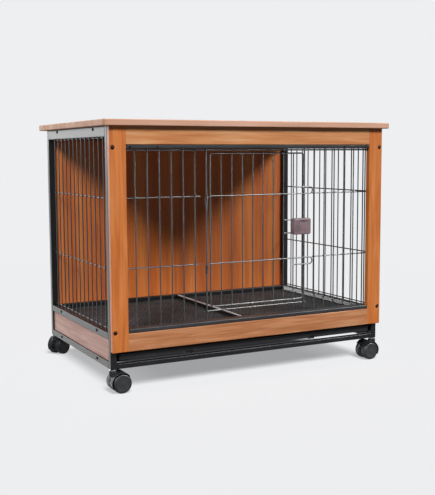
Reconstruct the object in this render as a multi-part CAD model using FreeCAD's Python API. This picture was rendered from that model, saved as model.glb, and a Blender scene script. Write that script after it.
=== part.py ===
"""Furniture-style pet crate on twin-wheel casters, in millimetres.

+Z is up and the front faces -Y. The origin is on the floor, under the middle of the top panel.
Each piece is a solid of its own, and like fasteners share one file as separate solids.
"""

import FreeCAD
import Part
import math
import os

Vector = FreeCAD.Vector
X_AXIS = Vector(1, 0, 0)
Y_AXIS = Vector(0, 1, 0)
Z_AXIS = Vector(0, 0, 1)

# Overall frame
FRAME_WIDTH = 780.0
FRAME_DEPTH = 490.0  # front face of the boards to the back of the rear posts
FRAME_HEIGHT = 574.0  # foot of the posts to the underside of the top panel
CASTER_HEIGHT = 57.5

# Top panel
TOP_THICKNESS = 15.0
TOP_OVERHANG_SIDE = 17.0
TOP_OVERHANG_FRONT = 12.0
TOP_OVERHANG_BACK = 21.0
TOP_CORNER_RADIUS = 8.0
TOP_EDGE_CHAMFER = 1.5

# Steel tube
TUBE_SIZE = 16.0
TUBE_WALL = 1.2
TUBE_CHAMFER = 1.2
TOP_RAIL_HEIGHT = 25.0
FRONT_RAIL_HEIGHT = 12.5  # low enough for the tray to pass over it

# Front boards and the thin panels
BOARD_THICKNESS = 15.0
STILE_WIDTH = 41.0
BOARD_HEIGHT = 43.0
BOARD_FOOT = 43.0  # lower edge of the boards above the foot of the posts
BOARD_CHAMFER = 1.0
PANEL_THICKNESS = 9.0
PANEL_INSET = 4.0
REAR_PANEL_THICKNESS = 4.5
REAR_PANEL_INSET = 10.0  # behind the front of the rear posts

# Wire grilles
BAR_REVEAL = 10.0  # how far each grille bar shows past its board
BAR_NOSE_INSET = 2.0  # nose of each bar behind the front of the boards
WIRE = 3.2  # across its flats
WIRE_SIDES = 8
OPENING_WIRE = 4.0
WIRE_PITCH = 31.4
UPPER_WIRE_HEIGHT = 405.0  # cross wires above the foot of the posts
LOWER_WIRE_HEIGHT = 237.0
SIDE_WIRE_GAP = 7.0  # lowest side wire above its rail
HEADER_DROP = 3.0  # header wire below the upper grille bar
SILL_RISE = 21.3  # sill wire above the lower grille bar

# Door
HINGE_X = -130.0
STRIKE_X = 156.5
DOOR_HINGE_GAP = 10.0
DOOR_STRIKE_GAP = 4.5
DOOR_TOP_GAP = 11.5
DOOR_SILL_GAP = 33.0
DOOR_GAP_COUNT = 9
DOOR_CORNER = 7.0
HAIRPIN_REACH = 22.0  # past the strike wire
HAIRPIN_RISE = 17.0
SLEEVE_LENGTH = 22.0
SLEEVE_WALL = 1.75
HOOK_DROP = 12.0
HOOK_BEND = 5.0
HOOK_SINK = 0.5
BEND_STEPS = 3  # straight steps round a bend
SWEEP_ROOM = 16.0  # from the hinge wire to the end of the fixed cross wires

# Latch
LATCH_HEIGHT = 320.5  # middle of the grip above the foot of the posts
LATCH_GUIDE_SPACING = 34.0
LATCH_TRAVEL = 14.0
LATCH_CLEAR = 0.4
GRIP_WIDTH = 52.0
GRIP_HEIGHT = 42.0
GRIP_THICKNESS = 17.5
GRIP_PAST_STRIKE = 8.0
GRIP_CHAMFER = 3.0
SCOOP_RADIUS = 34.0
SCOOP_DEPTH = 3.0
SCOOP_HEIGHT = 30.0
SCOOP_INSET = 31.0  # from the hinge end of the grip
RIB_COUNT = 5
RIB_PITCH = 4.0
RIB_WIDTH = 2.0
RIB_DEPTH = 0.8
BRIDGE_SIDE_ROOM = 1.3
BRIDGE_HEIGHT = 16.0
BRIDGE_INSERT = 8.0
TONGUE_HEIGHT = 20.0
TONGUE_THICKNESS = 3.3
TONGUE_HEEL = 6.0
TONGUE_STRIKE_ROOM = 0.5
TONGUE_BEHIND_STRIKE = 1.2

# Floor
LEDGE_WIDTH = 14.0
LEDGE_THICKNESS = 2.0
MESH_THICKNESS = 1.5
MESH_EDGE_ROOM = 0.5
MESH_BORDER = 16.0
MESH_PITCH = 60.0
MESH_HOLE = 42.0  # across the corners of a hole
CENTER_BAR_FLANGE = 28.0
CENTER_BAR_WEB = 5.0
CENTER_BAR_CHAMFER = 1.5
CENTER_BAR_HEIGHT = 15.5

# Tray and its runners
RUNNER_WIDTH = 36.0
RUNNER_SKIRT = 12.0
RUNNER_THICKNESS = 1.5
SLIDE_CLEAR = 0.3
TRAY_SIDE_ROOM = 5.0
TRAY_BACK_ROOM = 8.0
TRAY_FRONT_INSET = 2.0
TRAY_WALL = 2.0
TRAY_FRONT_WALL = 6.0
TRAY_DEPTH = 16.0
TRAY_LIP = 3.0
TRAY_LIP_THICKNESS = 2.0
SKID_HEIGHT = 3.7
SKID_WIDTH = 18.0
SKID_X = 182.0
NOTCH_HEIGHT = 5.0
NOTCH_DEPTH = 5.0

# Fasteners
FIT = 0.1
STILE_BOLT_SHANK = 6.0
STILE_BOLT_HEAD = 9.4
STILE_BOLT_HEAD_HEIGHT = 2.5
STILE_BOLT_RECESS = 3.0
STILE_BOLT_HIGH = 524.0  # above the foot of the posts
STILE_BOLT_LOW = 90.0
STILE_BOLT_GRIP = 4.0
RAIL_BOLT_SHANK = 5.0
RAIL_BOLT_HEAD = 8.0
RAIL_BOLT_HEAD_HEIGHT = 2.2
RAIL_BOLT_LENGTH = 5.0
RAIL_BOLT_INSET = 95.0  # from each end of the steel frame
RAIL_BOLT_DROP = 6.0  # below the top of its rail
BRACKET_WIDTH = 20.0
BRACKET_ARM = 24.0
BRACKET_DROP = 18.0
BRACKET_THICKNESS = 2.0

# Casters
WHEEL_RADIUS = 23.75
WHEEL_WIDTH = 15.0
WHEEL_EDGE = 3.0
WHEEL_SIDES = 36
WHEEL_CAP = 3.0  # left over the blind bore
CASTER_TRAIL = 17.0
AXLE = 8.0
RUN_CLEAR = 0.05
WEB = 13.4
WEB_SIDE_ROOM = 0.3
WEB_RADIUS = 17.0
FENDER_ROOM = 1.0
FENDER_WALL = 2.5
FENDER_START = 40.0  # degrees from the trailing direction
FENDER_END = 205.0
BOSS_WIDTH = 20.0
BOSS_HEIGHT = 12.0
STEM = 8.0
STEM_SOCKET = 25.0
STEM_REACH = 28.0  # into the post
COLLAR_WIDTH = 17.0
COLLAR_HEIGHT = 4.0
COLLAR_ROOM = 0.3
PLUG_HEIGHT = 32.0

# Direction in which each caster trails, in degrees about +Z
TRAIL_ANGLES = {"front_left": 0.0, "front_right": 180.0, "rear_left": 35.0, "rear_right": -110.0}

# Levels and faces worked out from the sizes above
TOP_WIDTH = FRAME_WIDTH + 2 * TOP_OVERHANG_SIDE
TOP_DEPTH = FRAME_DEPTH + TOP_OVERHANG_FRONT + TOP_OVERHANG_BACK
SIDE = FRAME_WIDTH / 2
POST_INNER = SIDE - TUBE_SIZE
POST_AXIS_X = SIDE - TUBE_SIZE / 2
FRONT = TOP_OVERHANG_FRONT - TOP_DEPTH / 2
STEEL_FRONT = FRONT + BOARD_THICKNESS
BACK = FRONT + FRAME_DEPTH
BAY_FRONT = STEEL_FRONT + TUBE_SIZE
BAY_BACK = BACK - TUBE_SIZE
FOOT = CASTER_HEIGHT
FRAME_TOP = FOOT + FRAME_HEIGHT
TOP_RAIL_LOW = FRAME_TOP - TOP_RAIL_HEIGHT
BOARD_LOW = FOOT + BOARD_FOOT
LOWER_BOARD_TOP = BOARD_LOW + BOARD_HEIGHT
UPPER_BOARD_LOW = FRAME_TOP - BOARD_HEIGHT
MID_RAIL_TOP = LOWER_BOARD_TOP
MID_RAIL_LOW = MID_RAIL_TOP - TUBE_SIZE
BOTTOM_RAIL_TOP = FOOT + TUBE_SIZE
GRILLE_LOW = LOWER_BOARD_TOP + BAR_REVEAL
GRILLE_HIGH = UPPER_BOARD_LOW - BAR_REVEAL
GRILLE_Y = STEEL_FRONT + TUBE_SIZE / 2
CROSS_LEVELS = (FOOT + UPPER_WIRE_HEIGHT, FOOT + LOWER_WIRE_HEIGHT)
CROSS_OFFSET = WIRE  # crossed wires meet flat on flat

SLEEVE_BORE = OPENING_WIRE + 2 * RUN_CLEAR
SLEEVE_OUTER = SLEEVE_BORE + 2 * SLEEVE_WALL
DOOR_CROSS_Y = GRILLE_Y - (SLEEVE_OUTER + WIRE) / 2 + HOOK_SINK
DOOR_Y = DOOR_CROSS_Y + CROSS_OFFSET
DOOR_LEFT = HINGE_X + DOOR_HINGE_GAP
DOOR_RIGHT = STRIKE_X - DOOR_STRIKE_GAP
DOOR_LOW = GRILLE_LOW + DOOR_SILL_GAP
DOOR_HIGH = GRILLE_HIGH - DOOR_TOP_GAP
DOOR_PITCH = (DOOR_RIGHT - DOOR_LEFT) / DOOR_GAP_COUNT
LATCH_Z = FOOT + LATCH_HEIGHT
GRIP_BACK = DOOR_Y - OPENING_WIRE / 2 - LATCH_CLEAR
GRIP_FRONT = GRIP_BACK - GRIP_THICKNESS
GRIP_RIGHT = STRIKE_X + GRIP_PAST_STRIKE
GRIP_LEFT = GRIP_RIGHT - GRIP_WIDTH
BRIDGE_LEFT = DOOR_RIGHT - DOOR_PITCH + WIRE / 2 + BRIDGE_SIDE_ROOM
BRIDGE_RIGHT = DOOR_RIGHT - OPENING_WIRE / 2 - BRIDGE_SIDE_ROOM - LATCH_TRAVEL
TONGUE_FRONT = GRILLE_Y + OPENING_WIRE / 2 + TONGUE_BEHIND_STRIKE
TONGUE_END = STRIKE_X - OPENING_WIRE / 2 - TONGUE_STRIKE_ROOM

MESH_LOW = MID_RAIL_LOW + LEDGE_THICKNESS
CENTER_BAR_TOP = MID_RAIL_LOW + CENTER_BAR_HEIGHT
TRAY_SIDE = POST_INNER - TRAY_SIDE_ROOM
TRAY_FRONT = STEEL_FRONT + TRAY_FRONT_INSET
TRAY_BACK = BAY_BACK - TRAY_BACK_ROOM
TRAY_LOW = BOTTOM_RAIL_TOP + SLIDE_CLEAR + SKID_HEIGHT
TRAY_TOP = TRAY_LOW + TRAY_DEPTH

RAIL_BOLT_ROWS = (STEEL_FRONT + RAIL_BOLT_INSET, BACK - RAIL_BOLT_INSET)
HOOD_TOP = CASTER_HEIGHT - COLLAR_HEIGHT - COLLAR_ROOM
FENDER_RADIUS = WHEEL_RADIUS + FENDER_ROOM + FENDER_WALL
HOOD_WIDTH = WEB + 2 * (WEB_SIDE_ROOM + WHEEL_WIDTH) - WHEEL_EDGE


def box(x, y, z):
    """Box between the low and high values of each axis."""
    low = Vector(x[0], y[0], z[0])
    return Part.makeBox(x[1] - x[0], y[1] - y[0], z[1] - z[0], low)


def along(shape, axis):
    """Edges of a shape that run parallel to an axis."""
    straight = [edge for edge in shape.Edges if isinstance(edge.Curve, Part.Line)]
    return [edge for edge in straight if abs(edge.tangentAt(edge.FirstParameter).dot(axis)) > 0.99]


def tube(x, y, z, axis):
    """Square or oblong tube along an axis, with eased corners and open ends."""
    outer = box(x, y, z)
    outer = outer.makeChamfer(TUBE_CHAMFER, along(outer, axis))
    spans = []
    for span, direction in ((x, X_AXIS), (y, Y_AXIS), (z, Z_AXIS)):
        inset = -1.0 if direction.dot(axis) else TUBE_WALL
        spans.append((span[0] + inset, span[1] - inset))
    return outer.cut(box(*spans))


def board(x, y, z):
    """Board with all its edges eased."""
    plain = box(x, y, z)
    return plain.makeChamfer(BOARD_CHAMFER, plain.Edges)


def cylinder(start, direction, length, diameter):
    """Round bar of a diameter from a start point."""
    return Part.makeCylinder(diameter / 2, length, start, direction)


def polygon(center, direction, across, sides):
    """Closed outline square to a main axis, with flats facing the other two axes."""
    first = X_AXIS if abs(direction.z) > abs(direction.x) + abs(direction.y) else Z_AXIS
    second = direction.cross(first).normalize()
    reach = across / 2 / math.cos(math.pi / sides)
    corners = []
    for index in range(sides):
        turn = math.pi * (2 * index + 1) / sides
        corners.append(center + first * (reach * math.cos(turn)) + second * (reach * math.sin(turn)))
    return Part.makePolygon(corners + corners[:1])


def prism(start, direction, length, across, sides=WIRE_SIDES):
    """Bar of a few flat sides along a main axis from a start point."""
    return Part.Face(polygon(start, direction, across, sides)).extrude(direction * length)


def rod(start, end, across):
    """Straight wire between two points."""
    run = end - start
    length = run.Length
    return prism(start, run.normalize(), length, across)


def bent_rod(points, bend, across):
    """Wire through points in one plane, with a few straight steps round each inner point."""
    path = [points[0]]
    for before, corner, after in zip(points, points[1:], points[2:]):
        back = (before - corner).normalize()
        ahead = (after - corner).normalize()
        turn = math.pi - back.getAngle(ahead)
        entry = corner + back * (bend * math.tan(turn / 2))
        center = corner + (back + ahead).normalize() * (bend / math.cos(turn / 2))
        for index in range(BEND_STEPS + 1):
            angle = turn * index / BEND_STEPS
            path.append(center + (entry - center) * math.cos(angle) - back * (bend * math.sin(angle)))
    path.append(points[-1])
    profile = polygon(path[0], (path[1] - path[0]).normalize(), across, WIRE_SIDES)
    return Part.makePolygon(path).makePipeShell([profile], True, False, 1)


def weld(pieces):
    """Fuse pieces into one solid."""
    return pieces[0].multiFuse(pieces[1:]).removeSplitter()


def bolt(seat, direction, head, head_height, shank, length):
    """Bolt whose head sits on a seat point, with its shank along the direction."""
    cap = prism(seat, -direction, head_height, head)
    return cap.fuse(prism(seat, direction, length, shank)).removeSplitter()


def save(name, shape):
    """Write one piece, or one group of like pieces, under its name."""
    shape.exportStep(os.path.join("parts", name + ".step"))


def top_panel():
    """Overhanging top with rounded corners and an eased edge."""
    panel = box(
        (-TOP_WIDTH / 2, TOP_WIDTH / 2),
        (-TOP_DEPTH / 2, TOP_DEPTH / 2),
        (FRAME_TOP, FRAME_TOP + TOP_THICKNESS),
    )
    panel = panel.makeFillet(TOP_CORNER_RADIUS, along(panel, Z_AXIS))
    rims = [edge for edge in panel.Edges if edge not in along(panel, Z_AXIS)]
    rims = [edge for edge in rims if abs(edge.BoundBox.ZLength) < 1e-6]
    return panel.makeChamfer(TOP_EDGE_CHAMFER, rims)


def stile_bolt_points(side):
    """Seats of the two bolts through one stile."""
    seat_y = FRONT + STILE_BOLT_RECESS
    return [Vector(side * POST_AXIS_X, seat_y, FOOT + z) for z in (STILE_BOLT_HIGH, STILE_BOLT_LOW)]


def stile(side):
    """Upright front board, bored and counterbored for its two bolts."""
    outer = side * SIDE
    inner = side * (SIDE - STILE_WIDTH)
    x = (min(outer, inner), max(outer, inner))
    piece = board(x, (FRONT, STEEL_FRONT), (BOARD_LOW, FRAME_TOP))
    for seat in stile_bolt_points(side):
        recess = prism(seat, -Y_AXIS, STILE_BOLT_RECESS, STILE_BOLT_HEAD + 2 * FIT)
        bore = prism(seat, Y_AXIS, BOARD_THICKNESS, STILE_BOLT_SHANK + 2 * FIT)
        piece = piece.cut(recess).cut(bore)
    return piece


def cross_board(low):
    """Front board between the stiles, from its lower edge up."""
    x = SIDE - STILE_WIDTH
    return board((-x, x), (FRONT, STEEL_FRONT), (low, low + BOARD_HEIGHT))


def post(side, front):
    """Corner post. A front post is bored for its stile bolts."""
    x = (side * POST_AXIS_X - TUBE_SIZE / 2, side * POST_AXIS_X + TUBE_SIZE / 2)
    y = (STEEL_FRONT, BAY_FRONT) if front else (BAY_BACK, BACK)
    piece = tube(x, y, (FOOT, FRAME_TOP), Z_AXIS)
    if front:
        for seat in stile_bolt_points(side):
            start = Vector(seat.x, STEEL_FRONT, seat.z)
            piece = piece.cut(prism(start, Y_AXIS, TUBE_WALL, STILE_BOLT_SHANK + 2 * FIT))
    return piece


def rail_bolt_points(side, level):
    """Seats of the two bolts on the outer face of a side rail."""
    return [Vector(side * SIDE, y, level) for y in RAIL_BOLT_ROWS]


def side_rail(side, z, bolt_level):
    """Rail from post to post along Y, bored for its two bolts."""
    x = (side * POST_AXIS_X - TUBE_SIZE / 2, side * POST_AXIS_X + TUBE_SIZE / 2)
    piece = tube(x, (BAY_FRONT, BAY_BACK), z, Y_AXIS)
    inward = X_AXIS * -side
    for seat in rail_bolt_points(side, bolt_level):
        piece = piece.cut(prism(seat, inward, TUBE_WALL, RAIL_BOLT_SHANK + 2 * FIT))
    return piece


def cross_rail(y, z):
    """Rail from post to post along X."""
    return tube((-POST_INNER, POST_INNER), y, z, X_AXIS)


def grille_bar(z, nose_z):
    """Tube that holds the ends of the front wires, with a nose that shows between the boards."""
    bar = cross_rail((STEEL_FRONT, BAY_FRONT), z)
    nose_x = SIDE - STILE_WIDTH
    nose = box((-nose_x, nose_x), (FRONT + BAR_NOSE_INSET, STEEL_FRONT + TUBE_WALL), nose_z)
    return bar.fuse(nose).removeSplitter()


def front_grille(side):
    """Fixed wires beside the door. The opening wire comes first, round where it is the hinge."""
    opening_x = HINGE_X if side < 0 else STRIKE_X
    span = POST_INNER - abs(opening_x)
    count = int((span - WIRE) / WIRE_PITCH)
    bar = cylinder if side < 0 else prism
    pieces = [bar(Vector(opening_x, GRILLE_Y, GRILLE_LOW), Z_AXIS, GRILLE_HIGH - GRILLE_LOW, OPENING_WIRE)]
    for index in range(1, count + 1):
        x = opening_x + side * index * WIRE_PITCH
        pieces.append(rod(Vector(x, GRILLE_Y, GRILLE_LOW), Vector(x, GRILLE_Y, GRILLE_HIGH), WIRE))
    near = opening_x + side * (SWEEP_ROOM if side < 0 else WIRE_PITCH - WIRE)
    for level in CROSS_LEVELS:
        y = GRILLE_Y + CROSS_OFFSET
        pieces.append(rod(Vector(near, y, level), Vector(side * POST_INNER, y, level), WIRE))
    return pieces


def front_grille_group(side):
    """The welded uprights of one side, and the opening wire, which only the bars hold."""
    pieces = front_grille(side)
    return Part.makeCompound([pieces[0], weld(pieces[1:])])


def door_opening_wires():
    """Header wire under the upper bar and sill wire below the door, behind the uprights."""
    behind = GRILLE_Y + OPENING_WIRE + FIT
    header_z = GRILLE_HIGH - HEADER_DROP
    header = rod(Vector(-POST_INNER, behind, header_z), Vector(POST_INNER, behind, header_z), OPENING_WIRE)
    sill_z = GRILLE_LOW + SILL_RISE
    sill_end = OPENING_WIRE + WIRE / 2
    sill = rod(
        Vector(HINGE_X - sill_end, behind, sill_z),
        Vector(STRIKE_X + sill_end, behind, sill_z),
        OPENING_WIRE,
    )
    return Part.makeCompound([header, sill])


def side_wire_panel(side):
    """Uprights between mid and top rail, with four cross wires on the inside."""
    x = side * POST_AXIS_X
    gaps = round((BAY_BACK - BAY_FRONT) / WIRE_PITCH)
    pitch = (BAY_BACK - BAY_FRONT) / gaps
    pieces = []
    for index in range(1, gaps):
        y = BAY_FRONT + index * pitch
        pieces.append(rod(Vector(x, y, MID_RAIL_TOP), Vector(x, y, TOP_RAIL_LOW), WIRE))
    inside = x - side * CROSS_OFFSET
    levels = CROSS_LEVELS + (MID_RAIL_TOP + SIDE_WIRE_GAP, TOP_RAIL_LOW - WIRE / 2)
    for level in levels:
        pieces.append(rod(Vector(inside, BAY_FRONT, level), Vector(inside, BAY_BACK, level), WIRE))
    return weld(pieces)


def rear_panel():
    """Panel between the rear posts, from mid rail to top rail."""
    y = BAY_BACK + REAR_PANEL_INSET
    return box((-POST_INNER, POST_INNER), (y, y + REAR_PANEL_THICKNESS), (MID_RAIL_TOP, TOP_RAIL_LOW))


def side_lower_panel(side):
    """Panel between mid and bottom rail on one side, set back from their faces."""
    outer = side * (SIDE - PANEL_INSET)
    inner = outer - side * PANEL_THICKNESS
    x = (min(outer, inner), max(outer, inner))
    return box(x, (BAY_FRONT, BAY_BACK), (BOTTOM_RAIL_TOP, MID_RAIL_LOW))


def rear_lower_panel():
    """Panel between mid and bottom rail at the back."""
    y = BACK - PANEL_INSET
    return box((-POST_INNER, POST_INNER), (y - PANEL_THICKNESS, y), (BOTTOM_RAIL_TOP, MID_RAIL_LOW))


def diamond(x, y, z, across):
    """Square hole outline standing on its corner."""
    reach = across / 2
    ends = ((reach, 0), (0, reach), (-reach, 0), (0, -reach))
    points = [Vector(x + across_x, y + across_y, z) for across_x, across_y in ends]
    return Part.makePolygon(points + points[:1])


def floor_mesh(side):
    """One half of the floor: a sheet with staggered holes inside a plain border."""
    near = CENTER_BAR_WEB / 2 + MESH_EDGE_ROOM
    far = POST_INNER - MESH_EDGE_ROOM
    x = (near, far) if side > 0 else (-far, -near)
    y = (BAY_FRONT + MESH_EDGE_ROOM, BAY_BACK - MESH_EDGE_ROOM)
    room_x = x[1] - x[0] - 2 * MESH_BORDER - MESH_HOLE
    room_y = y[1] - y[0] - 2 * MESH_BORDER - MESH_HOLE
    columns = int(room_x / MESH_PITCH)
    rows = int(room_y / (MESH_PITCH / 2))
    step_x = room_x / columns
    step_y = room_y / rows
    holes = []
    for row in range(rows + 1):
        shift = step_x / 2 if row % 2 else 0.0
        for column in range(columns if row % 2 else columns + 1):
            hole_x = x[0] + MESH_BORDER + MESH_HOLE / 2 + shift + column * step_x
            hole_y = y[0] + MESH_BORDER + MESH_HOLE / 2 + row * step_y
            holes.append(diamond(hole_x, hole_y, MESH_LOW, MESH_HOLE))
    corners = [Vector(x[0], y[0], MESH_LOW), Vector(x[1], y[0], MESH_LOW)]
    corners += [Vector(x[1], y[1], MESH_LOW), Vector(x[0], y[1], MESH_LOW)]
    outline = Part.makePolygon(corners + corners[:1])
    sheet = Part.Face(outline).cut(Part.makeCompound([Part.Face(hole) for hole in holes]))
    return sheet.Faces[0].extrude(Z_AXIS * MESH_THICKNESS)


def floor_center_bar():
    """Upside-down T bar between the two floor halves, from the front bar to the rear rail."""
    y = (BAY_FRONT, BAY_BACK)
    flange = box((-CENTER_BAR_FLANGE / 2, CENTER_BAR_FLANGE / 2), y, (MID_RAIL_LOW, MESH_LOW))
    web = box((-CENTER_BAR_WEB / 2, CENTER_BAR_WEB / 2), y, (MID_RAIL_LOW, CENTER_BAR_TOP))
    bar = flange.fuse(web).removeSplitter()
    crest = [edge for edge in along(bar, Y_AXIS) if edge.BoundBox.ZMin > CENTER_BAR_TOP - 0.1]
    return bar.makeChamfer(CENTER_BAR_CHAMFER, crest)


def floor_ledge(side):
    """Flat strip on the inner face of a side mid rail, under the floor's edge."""
    x = (POST_INNER - LEDGE_WIDTH, POST_INNER) if side > 0 else (-POST_INNER, LEDGE_WIDTH - POST_INNER)
    return box(x, (BAY_FRONT, BAY_BACK), (MID_RAIL_LOW, MESH_LOW))


def tray_runner(side):
    """Angle on the inner face of a side bottom rail, which the tray slides on."""
    y = (BAY_FRONT, BAY_BACK)
    leg_x = (POST_INNER - RUNNER_WIDTH, POST_INNER)
    skirt_x = (POST_INNER - RUNNER_THICKNESS, POST_INNER)
    if side < 0:
        leg_x = (-leg_x[1], -leg_x[0])
        skirt_x = (-skirt_x[1], -skirt_x[0])
    leg = box(leg_x, y, (BOTTOM_RAIL_TOP - RUNNER_THICKNESS, BOTTOM_RAIL_TOP))
    skirt = box(skirt_x, y, (BOTTOM_RAIL_TOP - RUNNER_SKIRT, BOTTOM_RAIL_TOP))
    return leg.fuse(skirt).removeSplitter()


def tray():
    """Shallow pull-out tray with a turned-out lip, skids under it and two notches in its front."""
    outer = box((-TRAY_SIDE, TRAY_SIDE), (TRAY_FRONT, TRAY_BACK), (TRAY_LOW, TRAY_TOP))
    lip = box(
        (-TRAY_SIDE - TRAY_LIP, TRAY_SIDE + TRAY_LIP),
        (TRAY_FRONT - TRAY_LIP, TRAY_BACK + TRAY_LIP),
        (TRAY_TOP - TRAY_LIP_THICKNESS, TRAY_TOP),
    )
    hollow = box(
        (TRAY_WALL - TRAY_SIDE, TRAY_SIDE - TRAY_WALL),
        (TRAY_FRONT + TRAY_FRONT_WALL, TRAY_BACK - TRAY_WALL),
        (TRAY_LOW + TRAY_WALL, TRAY_TOP + 1.0),
    )
    pan = outer.fuse(lip).cut(hollow)
    skid_low = BOTTOM_RAIL_TOP + SLIDE_CLEAR
    runner_x = POST_INNER - RUNNER_WIDTH / 2
    for x in (-runner_x, -SKID_X, SKID_X, runner_x):
        sides = (x - SKID_WIDTH / 2, x + SKID_WIDTH / 2)
        pan = pan.fuse(box(sides, (TRAY_FRONT + NOTCH_DEPTH, TRAY_BACK), (skid_low, TRAY_LOW)))
    for x in (-SKID_X, SKID_X):
        sides = (x - SKID_WIDTH / 2, x + SKID_WIDTH / 2)
        notch = box(sides, (TRAY_FRONT, TRAY_FRONT + NOTCH_DEPTH), (TRAY_LOW, TRAY_LOW + NOTCH_HEIGHT))
        pan = pan.cut(notch)
    return pan.removeSplitter()


def top_bracket(side, y):
    """Angle bracket between a side top rail and the top panel, behind a rail bolt."""
    rows = (y - BRACKET_WIDTH / 2, y + BRACKET_WIDTH / 2)
    arm_x = (POST_INNER - BRACKET_ARM, POST_INNER)
    leg_x = (POST_INNER - BRACKET_THICKNESS, POST_INNER)
    if side < 0:
        arm_x = (-arm_x[1], -arm_x[0])
        leg_x = (-leg_x[1], -leg_x[0])
    arm = box(arm_x, rows, (FRAME_TOP - BRACKET_THICKNESS, FRAME_TOP))
    leg = box(leg_x, rows, (FRAME_TOP - BRACKET_DROP, FRAME_TOP))
    return arm.fuse(leg).removeSplitter()


def door_frame():
    """Closed loop of thick wire with rounded corners."""
    middle = (DOOR_LEFT + DOOR_RIGHT) / 2
    corners = [
        Vector(middle, DOOR_Y, DOOR_LOW),
        Vector(DOOR_RIGHT, DOOR_Y, DOOR_LOW),
        Vector(DOOR_RIGHT, DOOR_Y, DOOR_HIGH),
        Vector(DOOR_LEFT, DOOR_Y, DOOR_HIGH),
        Vector(DOOR_LEFT, DOOR_Y, DOOR_LOW),
        Vector(middle, DOOR_Y, DOOR_LOW),
    ]
    return bent_rod(corners, DOOR_CORNER, OPENING_WIRE)


def door_cross_wire(level, turn):
    """Cross wire: hooked down at its hinge sleeve, with a hairpin past the strike wire."""
    tip = STRIKE_X + HAIRPIN_REACH
    back_end = DOOR_RIGHT - DOOR_PITCH
    other = level + turn * HAIRPIN_RISE
    points = [
        Vector(HINGE_X, DOOR_CROSS_Y, level - HOOK_DROP),
        Vector(HINGE_X, DOOR_CROSS_Y, level),
        Vector(tip, DOOR_CROSS_Y, level),
        Vector(tip, DOOR_CROSS_Y, other),
        Vector(back_end, DOOR_CROSS_Y, other),
    ]
    return bent_rod(points, HOOK_BEND, WIRE)


def hinge_sleeve(level):
    """Sleeve that turns on the hinge wire, just below a cross wire."""
    top = level - WIRE
    start = Vector(HINGE_X, GRILLE_Y, top - SLEEVE_LENGTH)
    return cylinder(start, Z_AXIS, SLEEVE_LENGTH, SLEEVE_OUTER)


def hinge_bore():
    """Space that the hinge wire needs through the sleeves."""
    start = Vector(HINGE_X, GRILLE_Y, GRILLE_LOW)
    return cylinder(start, Z_AXIS, GRILLE_HIGH - GRILLE_LOW, SLEEVE_BORE)


def door_grille():
    """Welded wire door with its hinge sleeves and the two guides of the latch."""
    pieces = [door_frame()]
    for index in range(1, DOOR_GAP_COUNT):
        x = DOOR_LEFT + index * DOOR_PITCH
        pieces.append(rod(Vector(x, DOOR_Y, DOOR_LOW), Vector(x, DOOR_Y, DOOR_HIGH), WIRE))
    for level, turn in zip(CROSS_LEVELS, (1, -1)):
        pieces.append(door_cross_wire(level, turn))
        pieces.append(hinge_sleeve(level))
    guide_left = DOOR_RIGHT - 2 * DOOR_PITCH
    for step in (-1, 1):
        z = LATCH_Z + step * LATCH_GUIDE_SPACING / 2
        pieces.append(rod(Vector(guide_left, DOOR_CROSS_Y, z), Vector(DOOR_RIGHT, DOOR_CROSS_Y, z), WIRE))
    return weld(pieces).cut(hinge_bore())


def latch_grip():
    """Moulded grip: chamfered block with a thumb scoop, ribs, guide grooves and a socket for the tongue."""
    x = (GRIP_LEFT, GRIP_RIGHT)
    z = (LATCH_Z - GRIP_HEIGHT / 2, LATCH_Z + GRIP_HEIGHT / 2)
    block = box(x, (GRIP_FRONT, GRIP_BACK), z)
    eased = [edge for edge in block.Edges if edge.BoundBox.YMin < GRIP_FRONT + GRIP_CHAMFER]
    block = block.makeChamfer(GRIP_CHAMFER, eased)
    scoop_z = (LATCH_Z - SCOOP_HEIGHT / 2, LATCH_Z + SCOOP_HEIGHT / 2)
    scoop_foot = Vector(GRIP_LEFT + SCOOP_INSET, GRIP_FRONT + SCOOP_DEPTH - SCOOP_RADIUS, scoop_z[0])
    block = block.cut(cylinder(scoop_foot, Z_AXIS, SCOOP_HEIGHT, 2 * SCOOP_RADIUS))
    for index in range(RIB_COUNT):
        rib_x = GRIP_LEFT + GRIP_CHAMFER + index * RIB_PITCH
        groove = box((rib_x, rib_x + RIB_WIDTH), (GRIP_FRONT, GRIP_FRONT + RIB_DEPTH), scoop_z)
        block = block.cut(groove)
    groove_half = WIRE / 2 + LATCH_CLEAR
    for step in (-1, 1):
        guide_z = LATCH_Z + step * LATCH_GUIDE_SPACING / 2
        groove_y = (DOOR_CROSS_Y - groove_half, GRIP_BACK)
        block = block.cut(box(x, groove_y, (guide_z - groove_half, guide_z + groove_half)))
    socket = box(
        (BRIDGE_LEFT - FIT, BRIDGE_RIGHT + FIT),
        (GRIP_BACK - BRIDGE_INSERT, GRIP_BACK),
        (LATCH_Z - BRIDGE_HEIGHT / 2 - FIT, LATCH_Z + BRIDGE_HEIGHT / 2 + FIT),
    )
    return block.cut(socket)


def latch_tongue():
    """Tongue behind the door wires, with the bridge that plugs into the grip."""
    bridge = box(
        (BRIDGE_LEFT, BRIDGE_RIGHT),
        (GRIP_BACK - BRIDGE_INSERT, TONGUE_FRONT + TONGUE_THICKNESS),
        (LATCH_Z - BRIDGE_HEIGHT / 2, LATCH_Z + BRIDGE_HEIGHT / 2),
    )
    plate = box(
        (BRIDGE_LEFT - TONGUE_HEEL, TONGUE_END),
        (TONGUE_FRONT, TONGUE_FRONT + TONGUE_THICKNESS),
        (LATCH_Z - TONGUE_HEIGHT / 2, LATCH_Z + TONGUE_HEIGHT / 2),
    )
    plate = plate.makeChamfer(TONGUE_THICKNESS, along(plate, Y_AXIS))
    return bridge.fuse(plate).removeSplitter()


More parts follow.
